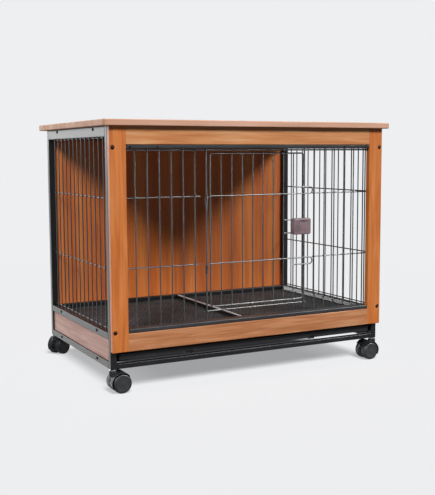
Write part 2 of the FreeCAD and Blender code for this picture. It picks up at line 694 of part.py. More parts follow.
def caster_center(corner):
    """Foot of the post above a caster."""
    x = POST_AXIS_X if corner.endswith("right") else -POST_AXIS_X
    y = GRILLE_Y if corner.startswith("front") else BACK - TUBE_SIZE / 2
    return Vector(x, y, 0)


def on_caster(shape, corner):
    """Turn a shape made about the swivel axis to its trailing direction and move it to its corner."""
    shape.rotate(Vector(0, 0, 0), Z_AXIS, TRAIL_ANGLES[corner])
    shape.translate(caster_center(corner))
    return shape


def wheel(hand):
    """Wheel on one side of a caster: many-sided tread, eased outer edge and a blind bore."""
    shape = prism(Vector(0, 0, 0), Y_AXIS, WHEEL_WIDTH, 2 * WHEEL_RADIUS, WHEEL_SIDES)
    rim = [edge for edge in shape.Edges if edge.BoundBox.YMin > WHEEL_WIDTH - WHEEL_EDGE]
    shape = shape.makeChamfer(WHEEL_EDGE, rim)
    shape = shape.cut(cylinder(Vector(0, 0, 0), Y_AXIS, WHEEL_WIDTH - WHEEL_CAP, AXLE + 2 * RUN_CLEAR))
    shape.translate(Vector(0, WEB / 2 + WEB_SIDE_ROOM, 0))
    if hand < 0:
        shape.rotate(Vector(0, 0, 0), Z_AXIS, 180)
    shape.translate(Vector(CASTER_TRAIL, 0, WHEEL_RADIUS))
    return shape


def caster_hood():
    """Hood: web between the wheels, fender over them, swivel boss with the stem bore, and the axle."""
    hub = Vector(CASTER_TRAIL, 0, WHEEL_RADIUS)
    drum = prism(hub - Y_AXIS * (HOOD_WIDTH / 2), Y_AXIS, HOOD_WIDTH, 2 * FENDER_RADIUS, WHEEL_SIDES)
    boss = prism(Vector(0, 0, HOOD_TOP - BOSS_HEIGHT), Z_AXIS, BOSS_HEIGHT, BOSS_WIDTH)
    body = drum.fuse(boss)
    far = 4 * FENDER_RADIUS
    start = math.radians(FENDER_START)
    end = math.radians(FENDER_END)
    wedge = Part.makePolygon(
        [
            hub,
            hub + Vector(far * math.cos(start), 0, far * math.sin(start)),
            hub + Vector(far, 0, -far),
            hub + Vector(-far, 0, -far),
            hub + Vector(far * math.cos(end), 0, far * math.sin(end)),
            hub,
        ]
    )
    wedge = Part.Face(wedge).extrude(Y_AXIS * (2 * HOOD_WIDTH))
    wedge.translate(Y_AXIS * -HOOD_WIDTH)
    body = body.cut(wedge)
    core = prism(hub - Y_AXIS * (WEB / 2), Y_AXIS, WEB, 2 * WEB_RADIUS)
    body = body.fuse(core)
    for hand in (-1, 1):
        start_point = hub + Y_AXIS * (hand * WEB / 2)
        well = 2 * (WHEEL_RADIUS + FENDER_ROOM)
        body = body.cut(prism(start_point, Y_AXIS * hand, HOOD_WIDTH, well, WHEEL_SIDES))
    socket_low = HOOD_TOP - STEM_SOCKET
    body = body.cut(cylinder(Vector(0, 0, socket_low), Z_AXIS, STEM_SOCKET, STEM + 2 * RUN_CLEAR))
    axle_half = WEB / 2 + WEB_SIDE_ROOM + WHEEL_WIDTH - WHEEL_CAP - WEB_SIDE_ROOM
    axle = cylinder(hub - Y_AXIS * axle_half, Y_AXIS, 2 * axle_half, AXLE)
    return body.fuse(axle).removeSplitter()


def caster_stem(corner):
    """Stem with its collar under the post: round in the hood's socket, eight-sided in the plug."""
    foot = caster_center(corner)
    low = HOOD_TOP - STEM_SOCKET + COLLAR_ROOM
    collar_low = FOOT - COLLAR_HEIGHT
    pin = cylinder(foot + Z_AXIS * low, Z_AXIS, collar_low - low, STEM)
    collar = prism(foot + Z_AXIS * collar_low, Z_AXIS, COLLAR_HEIGHT, COLLAR_WIDTH)
    tang = prism(foot + Z_AXIS * FOOT, Z_AXIS, STEM_REACH, STEM)
    return pin.multiFuse([collar, tang]).removeSplitter()


def post_plug(corner):
    """Square plug inside the foot of a post, bored for the stem."""
    center = caster_center(corner)
    half = TUBE_SIZE / 2 - TUBE_WALL - FIT
    plug = box(
        (center.x - half, center.x + half), (center.y - half, center.y + half), (FOOT, FOOT + PLUG_HEIGHT)
    )
    return plug.cut(prism(center + Z_AXIS * FOOT, Z_AXIS, PLUG_HEIGHT, STEM + 2 * RUN_CLEAR))


def save_wood():
    """Top panel, front boards and thin panels."""
    save("top_panel", top_panel())
    save("front_left_stile", stile(-1))
    save("front_right_stile", stile(1))
    save("front_top_board", cross_board(UPPER_BOARD_LOW))
    save("front_bottom_board", cross_board(BOARD_LOW))
    save("rear_panel", rear_panel())
    save("left_lower_panel", side_lower_panel(-1))
    save("right_lower_panel", side_lower_panel(1))
    save("rear_lower_panel", rear_lower_panel())


def save_frame():
    """Posts, rails and grille bars."""
    front_y = (STEEL_FRONT, BAY_FRONT)
    rear_y = (BAY_BACK, BACK)
    levels = {
        "top": (TOP_RAIL_LOW, FRAME_TOP),
        "mid": (MID_RAIL_LOW, MID_RAIL_TOP),
        "bottom": (FOOT, BOTTOM_RAIL_TOP),
    }
    for side_name, side in (("left", -1), ("right", 1)):
        save("front_" + side_name + "_post", post(side, True))
        save("rear_" + side_name + "_post", post(side, False))
        for level_name, z in levels.items():
            save(side_name + "_" + level_name + "_rail", side_rail(side, z, z[1] - RAIL_BOLT_DROP))
    for level_name, z in levels.items():
        save("rear_" + level_name + "_rail", cross_rail(rear_y, z))
    save("front_top_rail", cross_rail(front_y, levels["top"]))
    save("front_bottom_rail", cross_rail(front_y, (FOOT, FOOT + FRONT_RAIL_HEIGHT)))
    save("grille_top_bar", grille_bar((GRILLE_HIGH, GRILLE_HIGH + TUBE_SIZE), (GRILLE_HIGH, UPPER_BOARD_LOW)))
    save("grille_bottom_bar", grille_bar((GRILLE_LOW - TUBE_SIZE, GRILLE_LOW), (LOWER_BOARD_TOP, GRILLE_LOW)))


def save_wire_and_floor():
    """Fixed grilles, side panels, floor, runners and tray."""
    save("front_grille_left", front_grille_group(-1))
    save("front_grille_right", front_grille_group(1))
    save("door_opening_wires", door_opening_wires())
    save("left_wire_panel", side_wire_panel(-1))
    save("right_wire_panel", side_wire_panel(1))
    save("floor_mesh_left", floor_mesh(-1))
    save("floor_mesh_right", floor_mesh(1))
    save("floor_center_bar", floor_center_bar())
    save("floor_ledges", Part.makeCompound([floor_ledge(side) for side in (-1, 1)]))
    save("tray_runners", Part.makeCompound([tray_runner(side) for side in (-1, 1)]))
    save("tray", tray())


def save_fasteners():
    """Bolts and brackets."""
    length = BOARD_THICKNESS - STILE_BOLT_RECESS + TUBE_WALL + STILE_BOLT_GRIP
    seats = stile_bolt_points(-1) + stile_bolt_points(1)
    bolts = [
        bolt(seat, Y_AXIS, STILE_BOLT_HEAD, STILE_BOLT_HEAD_HEIGHT, STILE_BOLT_SHANK, length)
        for seat in seats
    ]
    save("stile_bolts", Part.makeCompound(bolts))
    bolts = []
    for side in (-1, 1):
        for rail_top in (FRAME_TOP, MID_RAIL_TOP, BOTTOM_RAIL_TOP):
            for seat in rail_bolt_points(side, rail_top - RAIL_BOLT_DROP):
                bolts.append(
                    bolt(
                        seat,
                        X_AXIS * -side,
                        RAIL_BOLT_HEAD,
                        RAIL_BOLT_HEAD_HEIGHT,
                        RAIL_BOLT_SHANK,
                        RAIL_BOLT_LENGTH,
                    )
                )
    save("rail_bolts", Part.makeCompound(bolts))
    brackets = [top_bracket(side, y) for side in (-1, 1) for y in RAIL_BOLT_ROWS]
    save("top_brackets", Part.makeCompound(brackets))


def save_door_and_latch():
    """Wire door, latch grip and latch tongue."""
    save("door_grille", door_grille())
    save("latch_grip", latch_grip())
    save("latch_tongue", latch_tongue())


def save_casters():
    """Plugs and stems as groups, and a hood and two wheels at each corner."""
    save("post_plugs", Part.makeCompound([post_plug(corner) for corner in TRAIL_ANGLES]))
    save("caster_stems", Part.makeCompound([caster_stem(corner) for corner in TRAIL_ANGLES]))
    for corner in TRAIL_ANGLES:
        save(corner + "_caster_hood", on_caster(caster_hood(), corner))
        save(corner + "_wheel_a", on_caster(wheel(1), corner))
        save(corner + "_wheel_b", on_caster(wheel(-1), corner))


os.makedirs("parts", exist_ok=True)
save_wood()
save_frame()
save_wire_and_floor()
save_fasteners()
save_door_and_latch()
save_casters()
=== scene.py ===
"""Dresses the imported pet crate: wood-look boards, steel frame, wire grilles, floor, tray, latch and casters.

Lengths are in metres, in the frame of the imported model: +Z is up, the front faces -Y, the floor is at zero.
"""

import logging
import math
from dataclasses import dataclass
from enum import Enum
from typing import Any, Iterable, Sequence

import bmesh
import bpy
from mathutils import Matrix, Vector


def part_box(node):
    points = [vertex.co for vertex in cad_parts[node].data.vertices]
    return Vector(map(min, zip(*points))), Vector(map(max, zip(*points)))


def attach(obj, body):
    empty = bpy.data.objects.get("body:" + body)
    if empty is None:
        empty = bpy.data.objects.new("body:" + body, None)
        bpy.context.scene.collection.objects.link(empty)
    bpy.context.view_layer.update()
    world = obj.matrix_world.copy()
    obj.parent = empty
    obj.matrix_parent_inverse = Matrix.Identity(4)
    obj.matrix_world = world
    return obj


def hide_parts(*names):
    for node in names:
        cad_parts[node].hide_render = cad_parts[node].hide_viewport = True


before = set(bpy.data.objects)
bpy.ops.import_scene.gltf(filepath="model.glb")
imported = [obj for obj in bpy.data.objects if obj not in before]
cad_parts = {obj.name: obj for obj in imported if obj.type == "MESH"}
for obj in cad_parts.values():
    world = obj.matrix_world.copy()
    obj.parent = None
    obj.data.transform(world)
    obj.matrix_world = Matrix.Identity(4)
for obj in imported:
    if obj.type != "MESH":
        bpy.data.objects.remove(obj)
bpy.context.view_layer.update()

LOG = logging.getLogger("pet_crate")
IMAGE_LONG_SIDE = 495
SENSOR = 36.0
SMOOTH_BELOW = math.radians(40)
SHARP_ABOVE = math.radians(60)
QUARTER_TURN = math.pi / 2
FULL_TURN = 2 * math.pi
WORLD_COLOR = "eeeff1"

WIRE = 0.0032
FRAME_WIRE = 0.004  # round the door and round its opening
WIRE_SIDES = 12
HINGE_X = -0.13
CROSS_LEVELS = (0.4625, 0.2945)  # upper and lower cross wires, the same all round
SIDES = ("left", "right")
CORNERS = [f"{end}_{side}" for end in ("front", "rear") for side in SIDES]

Mesh = bpy.types.Mesh
Piece = bpy.types.Object
Tree = bpy.types.NodeTree
Socket = bpy.types.NodeSocket
Point = Sequence[float]
Flat = tuple[float, float]
Run = tuple[float, int]  # pitch and count


class Axis(Enum):
    """Main axis that a grain or a tube runs along."""

    X = 0
    Y = 1
    Z = 2


def linear(code: str) -> tuple[float, float, float, float]:
    """Turn an sRGB hex colour into linear red, green, blue and alpha.

    Args:
        code: Six hex digits.

    Returns:
        The linear colour with full alpha.
    """
    channels = []
    for start in (0, 2, 4):
        value = int(code[start : start + 2], 16) / 255
        channels.append(value / 12.92 if value <= 0.04045 else ((value + 0.055) / 1.055) ** 2.4)
    return (channels[0], channels[1], channels[2], 1.0)


def add_node(
    tree: Tree, kind: str, inputs: dict[str | int, Any] | None = None, **settings: Any
) -> bpy.types.Node:
    """Add a node with its input values, links and settings.

    Args:
        tree: Tree that gets the node.
        kind: Type name of the node.
        inputs: Input values by socket name or place; a socket as a value becomes a link.
        settings: Node properties by name.

    Returns:
        The new node.
    """
    node = tree.nodes.new(kind)
    for key, value in settings.items():
        setattr(node, key, value)
    for key, value in (inputs or {}).items():
        if isinstance(value, Socket):
            tree.links.new(value, node.inputs[key])
        else:
            node.inputs[key].default_value = value
    return node


def flow(
    tree: Tree, kind: str, inputs: dict[str | int, Any] | None = None, out: str | int = 0, **settings: Any
) -> Socket:
    """Add a node as add_node does, and return the output with the given name or place."""
    return add_node(tree, kind, inputs, **settings).outputs[out]


def reckon(tree: Tree, operation: str, first: Any, second: Any = 0.0) -> Socket:
    """Add a math node with two inputs, and return its value."""
    return flow(tree, "ShaderNodeMath", {0: first, 1: second}, operation=operation)


def remap(
    tree: Tree, value: Socket, span: Flat, result: Sequence[Any] = (0.0, 1.0), shape: str = "LINEAR"
) -> Socket:
    """Add a node that maps one span of values onto another.

    Args:
        tree: Tree that gets the node.
        value: Value to map.
        span: Values at the ends.
        result: What the ends become.
        shape: LINEAR or SMOOTHSTEP.

    Returns:
        Mapped value, held between the ends.
    """
    ends = {"From Min": span[0], "From Max": span[1], "To Min": result[0], "To Max": result[1]}
    return flow(tree, "ShaderNodeMapRange", {"Value": value, **ends}, interpolation_type=shape)


def fresh_tree(owner: bpy.types.Material | bpy.types.World) -> Tree:
    """Return the node tree of a material or world, emptied."""
    owner.use_nodes = True
    owner.node_tree.nodes.clear()
    return owner.node_tree


def ramp(tree: Tree, share: Socket, stops: Sequence[tuple[float, str]]) -> Socket:
    """Add a colour ramp.

    Args:
        tree: Tree that gets the node.
        share: Place along the ramp.
        stops: Place from 0 to 1 and hex colour of each stop.

    Returns:
        Colour socket.
    """
    node = add_node(tree, "ShaderNodeValToRGB", {"Fac": share})
    elements = node.color_ramp.elements
    while len(elements) < len(stops):
        elements.new(1.0)
    for element, (place, code) in zip(elements, stops):
        element.position = place
        element.color = linear(code)
    return node.outputs["Color"]


@dataclass(frozen=True)
class Finish:
    """Name and record slot of a finish, with a shader for its kind to fill in."""

    name: str
    slot: str

    def material(self) -> bpy.types.Material:
        """Return the finish's material, made on first use."""
        made = bpy.data.materials.get(self.name)
        if not made:
            made = bpy.data.materials.new(self.name)
            tree = fresh_tree(made)
            shader = flow(tree, "ShaderNodeBsdfPrincipled", self.shade(tree), "BSDF")
            add_node(tree, "ShaderNodeOutputMaterial", {"Surface": shader})
        return made

    def shade(self, tree: Tree) -> dict[str, Any]:
        """Return the inputs of the shader; each kind of finish has its own way."""
        raise NotImplementedError


@dataclass(frozen=True)
class Laminate(Finish):
    """Melamine laminate with a printed wood figure: satin, banded along the grain, with fine dark pores."""

    grain: Axis
    dark: str
    middle: str
    pale: str
    pore: str
    band: float  # width of the tonal bands across the grain
    contrast: float = 1.0
    offset: float = 0.0
    stretch: float = 14.0  # bands are this many times longer than wide
    rough: float = 0.4
    ior: float = 1.5
    tone_half: float = 0.2  # reach of the tones to each side of the middle one
    pore_width: float = 0.0035  # real pores are finer and would not show
    pore_stretch: float = 40.0
    pore_strength: float = 0.55
    pore_span: Flat = (0.5, 0.78)
    pore_relief: float = 0.12
    pore_sink: float = 0.0003
    dulling: Flat = (-0.06, 0.1)  # change of roughness from clear ground to a pore

    def figure(self, tree: Tree, stretch: float, width: float, look: dict[str, float]) -> Socket:
        """Add a noise that is drawn out along the grain.

        Args:
            tree: Tree of the material.
            stretch: How many times the pattern is longer than wide.
            width: Width of the pattern.
            look: Further inputs of the noise.

        Returns:
            Value socket.
        """
        scale = [1.0, 1.0, 1.0]
        scale[self.grain.value] = 1 / stretch
        place = flow(tree, "ShaderNodeTexCoord", out="Object")
        mapping = {"Vector": place, "Location": (self.offset,) * 3, "Scale": scale}
        drawn = flow(tree, "ShaderNodeMapping", mapping)
        return flow(tree, "ShaderNodeTexNoise", {"Vector": drawn, "Scale": 1 / width, **look}, "Fac")

    def shade(self, tree: Tree) -> dict[str, Any]:
        """Lay pores over bands, and let the pores dull and sink the surface."""
        look = {"Detail": 3.0, "Roughness": 0.55, "Distortion": 0.35}
        bands = self.figure(tree, self.stretch, self.band, look)
        half = self.tone_half / self.contrast
        tone = ramp(tree, bands, ((0.5 - half, self.dark), (0.5, self.middle), (0.5 + half, self.pale)))
        pores = self.figure(tree, self.pore_stretch, self.pore_width, {"Detail": 4.0, "Roughness": 0.6})
        mask = remap(tree, pores, self.pore_span, (0.0, self.pore_strength))
        mixed = {0: mask, 6: tone, 7: linear(self.pore)}  # sockets 6 and 7 take the colours
        relief = {"Height": mask, "Strength": self.pore_relief, "Distance": self.pore_sink}
        return {
            "Base Color": flow(tree, "ShaderNodeMix", mixed, 2, data_type="RGBA"),
            "Roughness": remap(tree, pores, (0.0, 1.0), [self.rough + change for change in self.dulling]),
            "Normal": flow(tree, "ShaderNodeBump", relief, invert=True),
            "IOR": self.ior,
        }


@dataclass(frozen=True)
class FineGrained(Finish):
    """Coated, plated or moulded surface: a tone that drifts a little over a fine grit of its own size."""

    low: str
    high: str
    grit: float  # real width of the surface grit
    rough: Flat
    relief: float
    drift: float = 0.06  # width of the slow change of tone
    metallic: float = 0.0
    ior: float = 1.5
    tone_span: Flat = (0.35, 0.65)
    grit_span: Flat = (0.3, 0.7)
    grit_height: float = 0.125  # as a part of its width

    def shade(self, tree: Tree) -> dict[str, Any]:
        """Drift between two tones and let the grit roughen and lift the surface."""
        place = flow(tree, "ShaderNodeTexCoord", out="Object")
        noise = "ShaderNodeTexNoise"
        slow = flow(tree, noise, {"Vector": place, "Scale": 1 / self.drift, "Detail": 2.0}, "Fac")
        grit = flow(tree, noise, {"Vector": place, "Scale": 1 / self.grit, "Detail": 3.0}, "Fac")
        relief = {"Height": grit, "Strength": self.relief, "Distance": self.grit * self.grit_height}
        return {
            "Base Color": ramp(tree, slow, list(zip(self.tone_span, (self.low, self.high)))),
            "Roughness": remap(tree, grit, self.grit_span, self.rough),
            "Normal": flow(tree, "ShaderNodeBump", relief),
            "Metallic": self.metallic,
            "IOR": self.ior,
        }


WOOD = "wood_laminate"
# Front boards and top: warm orange-brown print with long soft bands; each board has its own stretch of it
STILE_WOOD = Laminate("laminate_upright_grain", WOOD, Axis.Z, "a1541f", "b2662d", "bc7740", "7f3e17", 0.014)
BOARD_WOOD = Laminate(
    "laminate_level_grain", WOOD, Axis.X, "a36437", "b17748", "bd8d64", "834c25", 0.012, offset=0.37
)
LOWER_BOARD_WOOD = Laminate(
    "laminate_lower_grain", WOOD, Axis.X, "905a36", "a36b45", "b2825e", "743f24", 0.011, offset=0.92
)
TOP_WOOD = Laminate(
    "laminate_top_grain", WOOD, Axis.X, "a67b5e", "b78d77", "c4a28f", "8d664d", 0.03,
    offset=0.71, rough=0.6, ior=1.3,
)
# Rear panel: the same print in wider bands, and redder; painted brighter than the front boards to make up for
# the shade inside the crate
REAR_WOOD_PAINTED_BRIGHT = Laminate(
    "laminate_rear_bands_painted_bright", WOOD, Axis.Z, "ae5120", "cb6d31", "dd8846", "803a17", 0.034,
    contrast=0.8, offset=0.13, stretch=30.0,
)
# Lower panels: the same print on thinner board, duller, and painted a little paler for the light that grazes
# them
SIDE_WOOD_PAINTED_PALE = Laminate(
    "laminate_side_painted_pale", WOOD, Axis.Y, "966c5e", "a88074", "b69388", "7c574a", 0.014, offset=0.53, ior=1.25
)
REAR_LOW_WOOD = Laminate(
    "laminate_rear_low_grain", WOOD, Axis.X, "a2694c", "b5805f", "c3937a", "85543c", 0.014
)
# Black powder coat on steel tube: satin with orange peel about a millimetre wide, drawn twice as coarse
POWDER_COAT = FineGrained("powder_coated_steel", "frame_black", "0e0e10", "161618", 0.002, (0.3, 0.46), 0.2)
# Black coated wire: smoother than the tubes, so each wire has a bright line along it
WIRE_COAT = FineGrained(
    "coated_steel_wire", "wire_black", "161718", "1f2022", 0.002, (0.28, 0.33), 0.02, ior=2.0
)
# Bars that frame the front grille: the same coat, painted a shade lighter for the sheen that their rounded
# noses catch
BAR_SHEEN_COAT = FineGrained("powder_coat_bar_painted_sheen", "frame_black", "232325", "2e2e30", 0.002, (0.3, 0.46), 0.2)
# Floor sheet: thick dull dip coat, its black painted a lighter grey for the glints and reflections on the
# sheet
FLOOR_SHEEN_COAT = FineGrained(
    "dip_coat_sheet_painted_sheen", "floor_black", "2e2e2f", "3a3a3b", 0.004, (0.5, 0.65), 0.1, ior=1.25
)
# Crest of the bar between the floor halves: painted highlight, a pale grey that stands for the light along its
# rounded top
CREST_HIGHLIGHT_COAT = FineGrained("bar_crest_painted_highlight", "frame_black", "b3aeaf", "c9c5c6", 0.002, (0.22, 0.34), 0.08)
# Vacuum-formed polypropylene tray: leathery mould grain, dull
TRAY_PLASTIC = FineGrained("formed_polypropylene", "tray_black", "16171a", "202125", 0.003, (0.42, 0.58), 0.3)
# Black-oxide bolts: oily dark steel
BLACK_OXIDE = FineGrained(
    "black_oxide_steel", "bolt_black", "17110f", "261d1a", 0.001, (0.34, 0.5), 0.1, drift=0.01, metallic=0.6
)
# Nylon plugs in the feet of the posts
PLUG_PLASTIC = FineGrained("moulded_nylon", "plug_black", "151516", "1e1e20", 0.002, (0.45, 0.6), 0.2)
# Bright zinc plate: pale metal with a faint spangle
ZINC_PLATE = FineGrained(
    "zinc_plated_steel", "stem_zinc", "b9bcc0", "d8dadd", 0.002, (0.22, 0.34), 0.05, drift=0.008, metallic=1.0
)
# Moulded ABS grip in mauve-grey with a fine spark-eroded texture
LATCH_PLASTIC = FineGrained(
    "moulded_abs_mauve", "latch_plastic", "69575c", "79676c", 0.0012, (0.34, 0.48), 0.15, drift=0.02
)
# Moulded nylon caster hood and wheel: black with a low sheen
CASTER_PLASTIC = FineGrained(
    "moulded_nylon_hood", "caster_black", "17181a", "222326", 0.002, (0.3, 0.42), 0.12
)
WHEEL_PLASTIC = FineGrained(
    "moulded_nylon_wheel", "wheel_black", "242528", "303134", 0.002, (0.38, 0.52), 0.15
)


def put(name: str, data: bpy.types.ID) -> Piece:
    """Add an object with its data to the scene."""
    item = bpy.data.objects.new(name, data)
    bpy.context.scene.collection.objects.link(item)
    return item


def middle(node: str) -> Vector:
    """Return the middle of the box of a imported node."""
    low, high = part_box(node)
    return (low + high) / 2


def evaluated(item: Piece) -> Mesh:
    """Return a plain mesh of an object with its modifiers applied."""
    return bpy.data.meshes.new_from_object(item.evaluated_get(bpy.context.evaluated_depsgraph_get()))


def discard(items: Iterable[Piece]) -> None:
    """Remove objects together with their meshes."""
    for item in items:
        data = item.data
        bpy.data.objects.remove(item)
        bpy.data.meshes.remove(data)


def new_mesh(build: bmesh.types.BMesh, outward: bool = True) -> Mesh:
    """Store a built shape as a mesh, with its faces turned to point outwards if asked."""
    if outward:
        bmesh.ops.recalc_face_normals(build, faces=build.faces)
    mesh = bpy.data.meshes.new("shape")
    build.to_mesh(mesh)
    build.free()
    return mesh


def ease(build: bmesh.types.BMesh, edges: Sequence[bmesh.types.BMEdge], radius: float, steps: int) -> None:
    """Round edges of a shape to a radius in some flat steps."""
    bmesh.ops.bevel(build, geom=edges, offset=radius, segments=steps, profile=0.5, affect="EDGES")


def slab(
    low: Point, high: Point, edge: float, corner: float = 0.0, corner_axis: Axis = Axis.Z, steps: int = 3
) -> Mesh:
    """Make a block with rounded edges.

    Args:
        low: Lowest corner.
        high: Highest corner.
        edge: Radius of the edges.
        corner: Radius of the four edges along corner_axis, if larger.
        corner_axis: Axis of those four edges.
        steps: Flats round each edge.

    Returns:
        Closed mesh.
    """
    build = bmesh.new()
    bmesh.ops.create_cube(build, size=1.0)
    for vertex in build.verts:
        vertex.co = [low[i] + (vertex.co[i] + 0.5) * (high[i] - low[i]) for i in range(3)]
    if corner:
        along = corner_axis.value
        turned = [e for e in build.edges if e.verts[0].co[along] != e.verts[1].co[along]]
        ease(build, turned, corner, 2 * steps)
    ease(build, [e for e in build.edges if e.calc_face_angle(0.0) > SHARP_ABOVE], edge, steps)
    return new_mesh(build)


def rounded_outline(width: float, height: float, radius: float, steps: int = 4) -> list[Flat]:
    """Outline of a rectangle about zero with round corners.

    Args:
        width: Size along the first direction.
        height: Size along the second direction.
        radius: Corner radius.
        steps: Straight steps round a corner.

    Returns:
        Points in order round the outline.
    """
    points = []
    for quarter in range(4):
        diagonal = QUARTER_TURN * (quarter + 0.5)
        center_u = math.copysign(width / 2 - radius, math.cos(diagonal))
        center_v = math.copysign(height / 2 - radius, math.sin(diagonal))
        for step in range(steps + 1):
            turn = QUARTER_TURN * (quarter + step / steps)
            points.append((center_u + radius * math.cos(turn), center_v + radius * math.sin(turn)))
    return points


def loft(rings: Sequence[Sequence[Vector]], caps: bool = False, closed: bool = False) -> Mesh:
    """Skin a row of rings that have the same number of points; a ring of one point is a pole.

    Args:
        rings: Points of each ring in order.
        caps: Whether the first and last ring get a face.
        closed: Whether the last ring joins the first.

    Returns:
        Mesh of the skin.
    """
    build = bmesh.new()
    rows = [[build.verts.new(point) for point in ring] for ring in rings]
    pairs = list(zip(rows, rows[1:]))
    if closed:
        pairs.append((rows[-1], rows[0]))
    for first, second in pairs:
        count = max(len(first), len(second))
        for index in range(count):
            after = (index + 1) % count
            corners = [first[index % len(first)], first[after % len(first)]]
            corners += [second[after % len(second)], second[index % len(second)]]
            build.faces.new(list(dict.fromkeys(corners)))
    if caps:
        build.faces.new(rows[0])
        build.faces.new(rows[-1])
    return new_mesh(build)


def tube(low: Point, high: Point, axis: Axis, radius: float, wall: float) -> Mesh:
    """Make a hollow oblong tube with round corners that fills a box.

    Args:
        low: Lowest corner.
        high: Highest corner.
        axis: Axis that the tube runs along.
        radius: Outer corner radius.
        wall: Wall thickness.

    Returns:
        Closed mesh of the outer skin, the bore and the two cut ends.
    """
    first, second = [index for index in range(3) if index != axis.value]
    size_u, size_v = high[first] - low[first], high[second] - low[second]
    rings = []
    for inset, level in ((0.0, low), (0.0, high), (wall, high), (wall, low)):
        outline = rounded_outline(size_u - 2 * inset, size_v - 2 * inset, max(radius - inset, wall / 2))
        ring = []
        for u, v in outline:
            point = [0.0, 0.0, 0.0]
            point[first] = (low[first] + high[first]) / 2 + u
            point[second] = (low[second] + high[second]) / 2 + v
            point[axis.value] = level[axis.value]
            ring.append(Vector(point))
        rings.append(ring)
    return loft(rings, closed=True)


def lathe(profile: Sequence[Flat], sides: int, place: Matrix | None = None) -> Mesh:
    """Turn a profile about the Z axis.

    Args:
        profile: Radius and height of each point; a radius of zero is a pole.
        sides: Flats round the axis.
        place: Turn and shift of the result.

    Returns:
        Mesh of the turned skin.
    """
    turns = [FULL_TURN * index / sides for index in range(sides)]
    rings = []
    for radius, height in profile:
        around = turns if radius else turns[:1]
        rings.append([Vector((radius * math.cos(t), radius * math.sin(t), height)) for t in around])
    mesh = loft(rings)
    if place:
        mesh.transform(place)
    return mesh


def rod(radius: float, low: float, high: float) -> list[Flat]:
    """Return the profile of a plain rod for lathe."""
    return [(0, low), (radius, low), (radius, high), (0, high)]


def arc(center: Flat, radius: float, start: float, end: float, steps: int) -> list[Flat]:
    """Points on an arc.

    Args:
        center: Centre of the arc.
        radius: Radius.
        start: First angle in degrees.
        end: Last angle in degrees.
        steps: Straight steps along the arc.

    Returns:
        Points from the first angle to the last.
    """
    angles = [math.radians(start + (end - start) * step / steps) for step in range(steps + 1)]
    return [(center[0] + radius * math.cos(a), center[1] + radius * math.sin(a)) for a in angles]


def plate(outline: Sequence[Flat], width: float, edge: float, steps: int = 2) -> Mesh:
    """Extrude an outline in the XZ plane to both sides along Y and round its two rims.

    Args:
        outline: Points as x and z.
        width: Distance between the faces.
        edge: Radius of the rims.
        steps: Flats round each rim.

    Returns:
        Closed mesh.
    """
    build = bmesh.new()
    ends = [[build.verts.new((x, y, z)) for x, z in outline] for y in (-width / 2, width / 2)]
    for index in range(len(outline)):
        after = (index + 1) % len(outline)
        build.faces.new((ends[0][index], ends[0][after], ends[1][after], ends[1][index]))
    rims = [build.faces.new(end) for end in ends]
    bmesh.ops.recalc_face_normals(build, faces=build.faces)
    ease(build, [e for face in rims for e in face.edges], edge, steps)
    return new_mesh(build)


def moved(mesh: Mesh, matrix: Matrix) -> Mesh:
    """Return a copy of a mesh put through a turn and a shift."""
    copy = mesh.copy()
    copy.transform(matrix)
    return copy


def joined(meshes: Iterable[Mesh], merge: float = 0.0) -> Mesh:
    """Put meshes together into one and remove them.

    Args:
        meshes: Meshes to join.
        merge: Distance within which their points become one, if any.

    Returns:
        New mesh.
    """
    build = bmesh.new()
    for mesh in meshes:
        build.from_mesh(mesh)
        bpy.data.meshes.remove(mesh)
    if merge:
        bmesh.ops.remove_doubles(build, verts=build.verts, dist=merge)
    return new_mesh(build, outward=False)


def cut(mesh: Mesh, cutters: Sequence[Mesh]) -> Mesh:
    """Cut shapes out of a mesh.

    Args:
        mesh: Closed mesh to cut.
        cutters: Closed meshes, which may not overlap each other.

    Returns:
        New mesh; the given ones are removed.
    """
    tool, block = put("cutter", joined(cutters)), put("block", mesh)
    modifier = block.modifiers.new("cut", "BOOLEAN")
    modifier.operation = "DIFFERENCE"
    modifier.solver = "EXACT"
    modifier.object = tool
    result = evaluated(block)
    discard((tool, block))
    return result


def dress(name: str, mesh: Mesh, finish: Finish, nodes: Sequence[str] = (), body: str = "root") -> Piece:
    """Turn a mesh into a finished piece that rides on a body.

    Args:
        name: Name of the piece.
        mesh: Its mesh, in place.
        finish: Its finish.
        nodes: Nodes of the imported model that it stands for.
        body: Body that it moves with.

    Returns:
        The piece.
    """
    mesh.name = name
    mesh.materials.clear()
    mesh.materials.append(finish.material())
    mesh.polygons.foreach_set("use_smooth", [True] * len(mesh.polygons))
    mesh.set_sharp_from_angle(angle=SMOOTH_BELOW)
    piece = put(name, mesh)
    weighted = piece.modifiers.new("even_flats", "WEIGHTED_NORMAL")
    weighted.keep_sharp = True
    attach(piece, body)
    if nodes:
        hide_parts(*nodes)
    LOG.info("%s: %d faces on %s", name, len(mesh.polygons), body)
    return piece


def finish_node(node: str, finish: Finish) -> None:
    """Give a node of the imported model, which keeps its shape, a finish."""
    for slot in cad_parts[node].material_slots:
        slot.material = finish.material()
    LOG.info("%s keeps its packed shape", node)


def points_mesh(points: Sequence[Point], path: bool = False, closed: bool = False) -> Mesh:
    """Make a mesh of loose points, or of one path through them.

    Args:
        points: Places in order.
        path: Whether edges join the points.
        closed: Whether the path returns to its start.

    Returns:
        Mesh without faces.
    """
    edges = [(index, index + 1) for index in range(len(points) - 1)] if path else []
    if closed:
        edges.append((len(points) - 1, 0))
    mesh = bpy.data.meshes.new("points")
    mesh.from_pydata([tuple(point) for point in points], edges, [])
    return mesh


